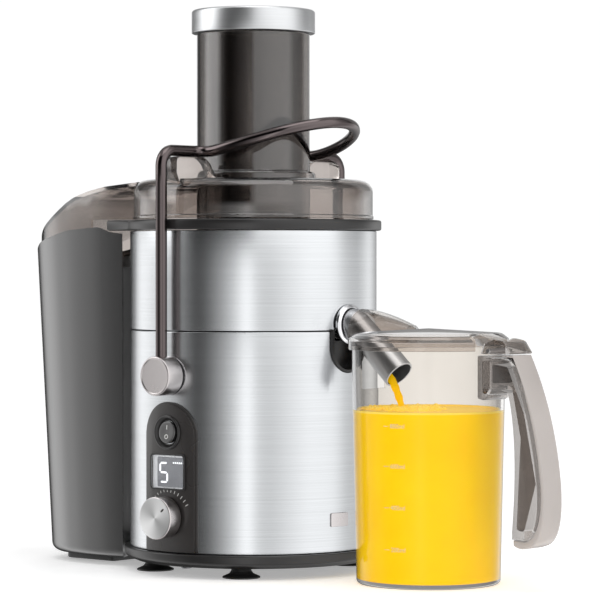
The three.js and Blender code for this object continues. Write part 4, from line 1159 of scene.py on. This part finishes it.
def hood_arch(name, inset, near, far):
    """A half-round hood over the pipe that slopes down into the lid."""
    bm = bmesh.new()
    rings = []
    for step in range(13):
        along = step / 12
        radius = (19 - inset) * (1 - 0.62 * along ** 1.6)
        x = near + (far - near) * along
        rings.append([bm.verts.new((JUG_X + x, radius * math.cos(math.radians(a)),
                                    186 + radius * math.sin(math.radians(a)) if 0 < a < 180
                                    else 184))
                      for a in range(0, 181, 10)])
        ring_edges = [bm.edges.new(pair) for pair in zip(rings[-1], rings[-1][1:])]
        ring_edges.append(bm.edges.new((rings[-1][-1], rings[-1][0])))
        if step:
            bmesh.ops.bridge_loops(bm, edges=last_edges + ring_edges)
        last_edges = ring_edges
    bm.faces.new(rings[0])
    bm.faces.new(rings[-1])
    bmesh.ops.recalc_face_normals(bm, faces=bm.faces)
    return placed(name, bm, smoked_cover)


carved(cover, hood_arch("arch", 0, -63, -14), way="UNION")
carved(cover, hood_arch("arch_room", 2.0, -66, -17),
       boxed("pipe_way", (JUG_X - 80, -16.5, 150), (JUG_X - 30, 16.5, 187.2), smoked_cover),
       boxed("handle_way", (JUG_X + JUG_R - 6, -18, 160), (JUG_X + 90, 18, 200), smoked_cover))
carved(cover, handle_part("hinge_lug", softened([(224, 184), (228, 178.8),
                                                 (241.4, 178.8, 1.5), (241.4, 183.4, 2),
                                                 (228, 187.6), (224, 188)]), 10, 0.6,
                          smoked_cover), way="UNION")
fitted(cover, "jug_cover", "smoked_plastic", "jug_lid")

# ---- Juice ----
# Fresh orange juice fills the beaker to above its top mark.
# Froth lies round its edge and in a patch of bubbles where the stream lands.
LEVEL_Z = 129.0


def juice_with_painted_glow(name, deep, bright, roughness):
    made = bpy.data.materials.new(name)
    made.use_nodes = True
    tree = made.node_tree
    shader = tree.nodes["Principled BSDF"]
    place = wired(tree, "ShaderNodeTexCoord").outputs["Object"]
    cloud = wired(tree, "ShaderNodeTexNoise", {"Vector": place, "Scale": 26.0, "Detail": 3.0})
    tint = wired(tree, "ShaderNodeMix", {"Factor": cloud.outputs["Fac"]})
    tint.data_type = "RGBA"
    tint.inputs["A"].default_value, tint.inputs["B"].default_value = (*deep, 1), (*bright, 1)
    tree.links.new(cloud.outputs["Fac"], tint.inputs["Factor"])
    tree.links.new(tint.outputs["Result"], shader.inputs["Base Color"])
    tree.links.new(tint.outputs["Result"], shader.inputs["Emission Color"])
    # Painted glow: the juice and froth shine with their own colour at a fixed strength, though they
    # are no lamp.
    shader.inputs["Emission Strength"].default_value = 0.35
    shader.inputs["Specular IOR Level"].default_value = 0.15
    shader.inputs["Roughness"].default_value = roughness
    return made


juice = juice_with_painted_glow("orange_juice", (1.0, 0.55, 0.0), (1.0, 0.68, 0.0), 0.35)
froth = juice_with_painted_glow("juice_froth", (1.0, 0.66, 0.04), (1.0, 0.78, 0.16), 0.3)
fill_r = JUG_BASE_R - 1.2  # drawn into the wall, because clear plastic magnifies what it holds
top_r = fill_r + (JUG_R - JUG_BASE_R) * LEVEL_Z / JUG_TOP
fill = turned([(0, JUG_FLOOR + 0.3), (fill_r, JUG_FLOOR + 0.3, 4), (top_r, LEVEL_Z, 0.5),
               (0, LEVEL_Z)], 128, closed=False)
fitted(placed("juice_fill", laid(fill, at_jug), juice), "jug", "smoked_plastic")
foam = turned([(top_r - 3, LEVEL_Z - 1), (top_r - 0.05, LEVEL_Z - 1.6), (top_r, LEVEL_Z + 1.2, 0.5),
               (top_r - 4, LEVEL_Z + 0.9, 0.6)], 128)
fitted(placed("foam_ring", laid(foam, at_jug), froth), "jug", "smoked_plastic")
bubbles = bmesh.new()
LANDING = (148.0, 0.0)
random.seed(11)
PATCH_R = 30
for count in range(260):
    spread = PATCH_R * random.random() ** 0.7 + 1
    turn = random.random() * math.tau
    x, y = LANDING[0] + 6 + spread * math.cos(turn), LANDING[1] + spread * math.sin(turn)
    size = 0.7 + 1.9 * random.random() ** 2
    if math.hypot(x - JUG_X, y) > top_r - 3:
        continue
    made = bmesh.ops.create_icosphere(bubbles, subdivisions=2, radius=size)
    bmesh.ops.translate(bubbles, vec=(x, y, LEVEL_Z + 0.25 * size), verts=made["verts"])
fitted(placed("froth_bubbles", bubbles, froth), "jug", "smoked_plastic")

# ---- Pouring stream ----
# Juice runs off the lower lip of the pipe and curves down into the jug.
LIP = (140.4, 148.2)
stream_run = []
for step in range(15):
    t = step / 14
    stream_run.append((LIP[0] - 5 + 14.5 * t, 0, LIP[1] + 5.2 - 7.2 * t - 17.4 * t * t))
stream_widths = [3.4 - 0.9 * (i / 14) + 0.5 * math.sin(i * 1.9) * (i / 14) for i in range(15)]
stream = tube("juice_stream", stream_run, stream_widths, juice, 20)
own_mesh(stream)
fitted(stream, "root", "smoked_plastic").visible_glossy = False

# ---- Plain solids that stay ----
# The motor, its bearings, the screws and the boards are plain turned, pressed or cut pieces.
# They keep their shapes and get the finish of their slot: iron, steel, copper or plastic.
cast_iron = metal("cast_iron", (0.24, 0.24, 0.25), 0.45, 0.2, (120, 120, 120))
wound_copper = metal("wound_copper", (0.58, 0.27, 0.12), 0.35, 0.3, (40, 40, 2500))
board_green = plastic("board_green", (0.02, 0.09, 0.04), 0.4)
slot_finish = {"brushed_steel": brushed_steel, "polished_steel": polished_steel,
               "arm_wire": arm_steel, "black_plastic": black_plastic,
               "charcoal_plastic": charcoal, "smoked_plastic": smoked_jug, "rubber": rubber,
               "copper": wound_copper, "steel_parts": cast_iron, "circuit": board_green,
               "display": backlight}
for subpart in frame["record"]["subparts"]:
    solid = frame["nodes"][subpart["node"]]
    solid.data.materials.clear()
    solid.data.materials.append(slot_finish[subpart["material_slot"]])
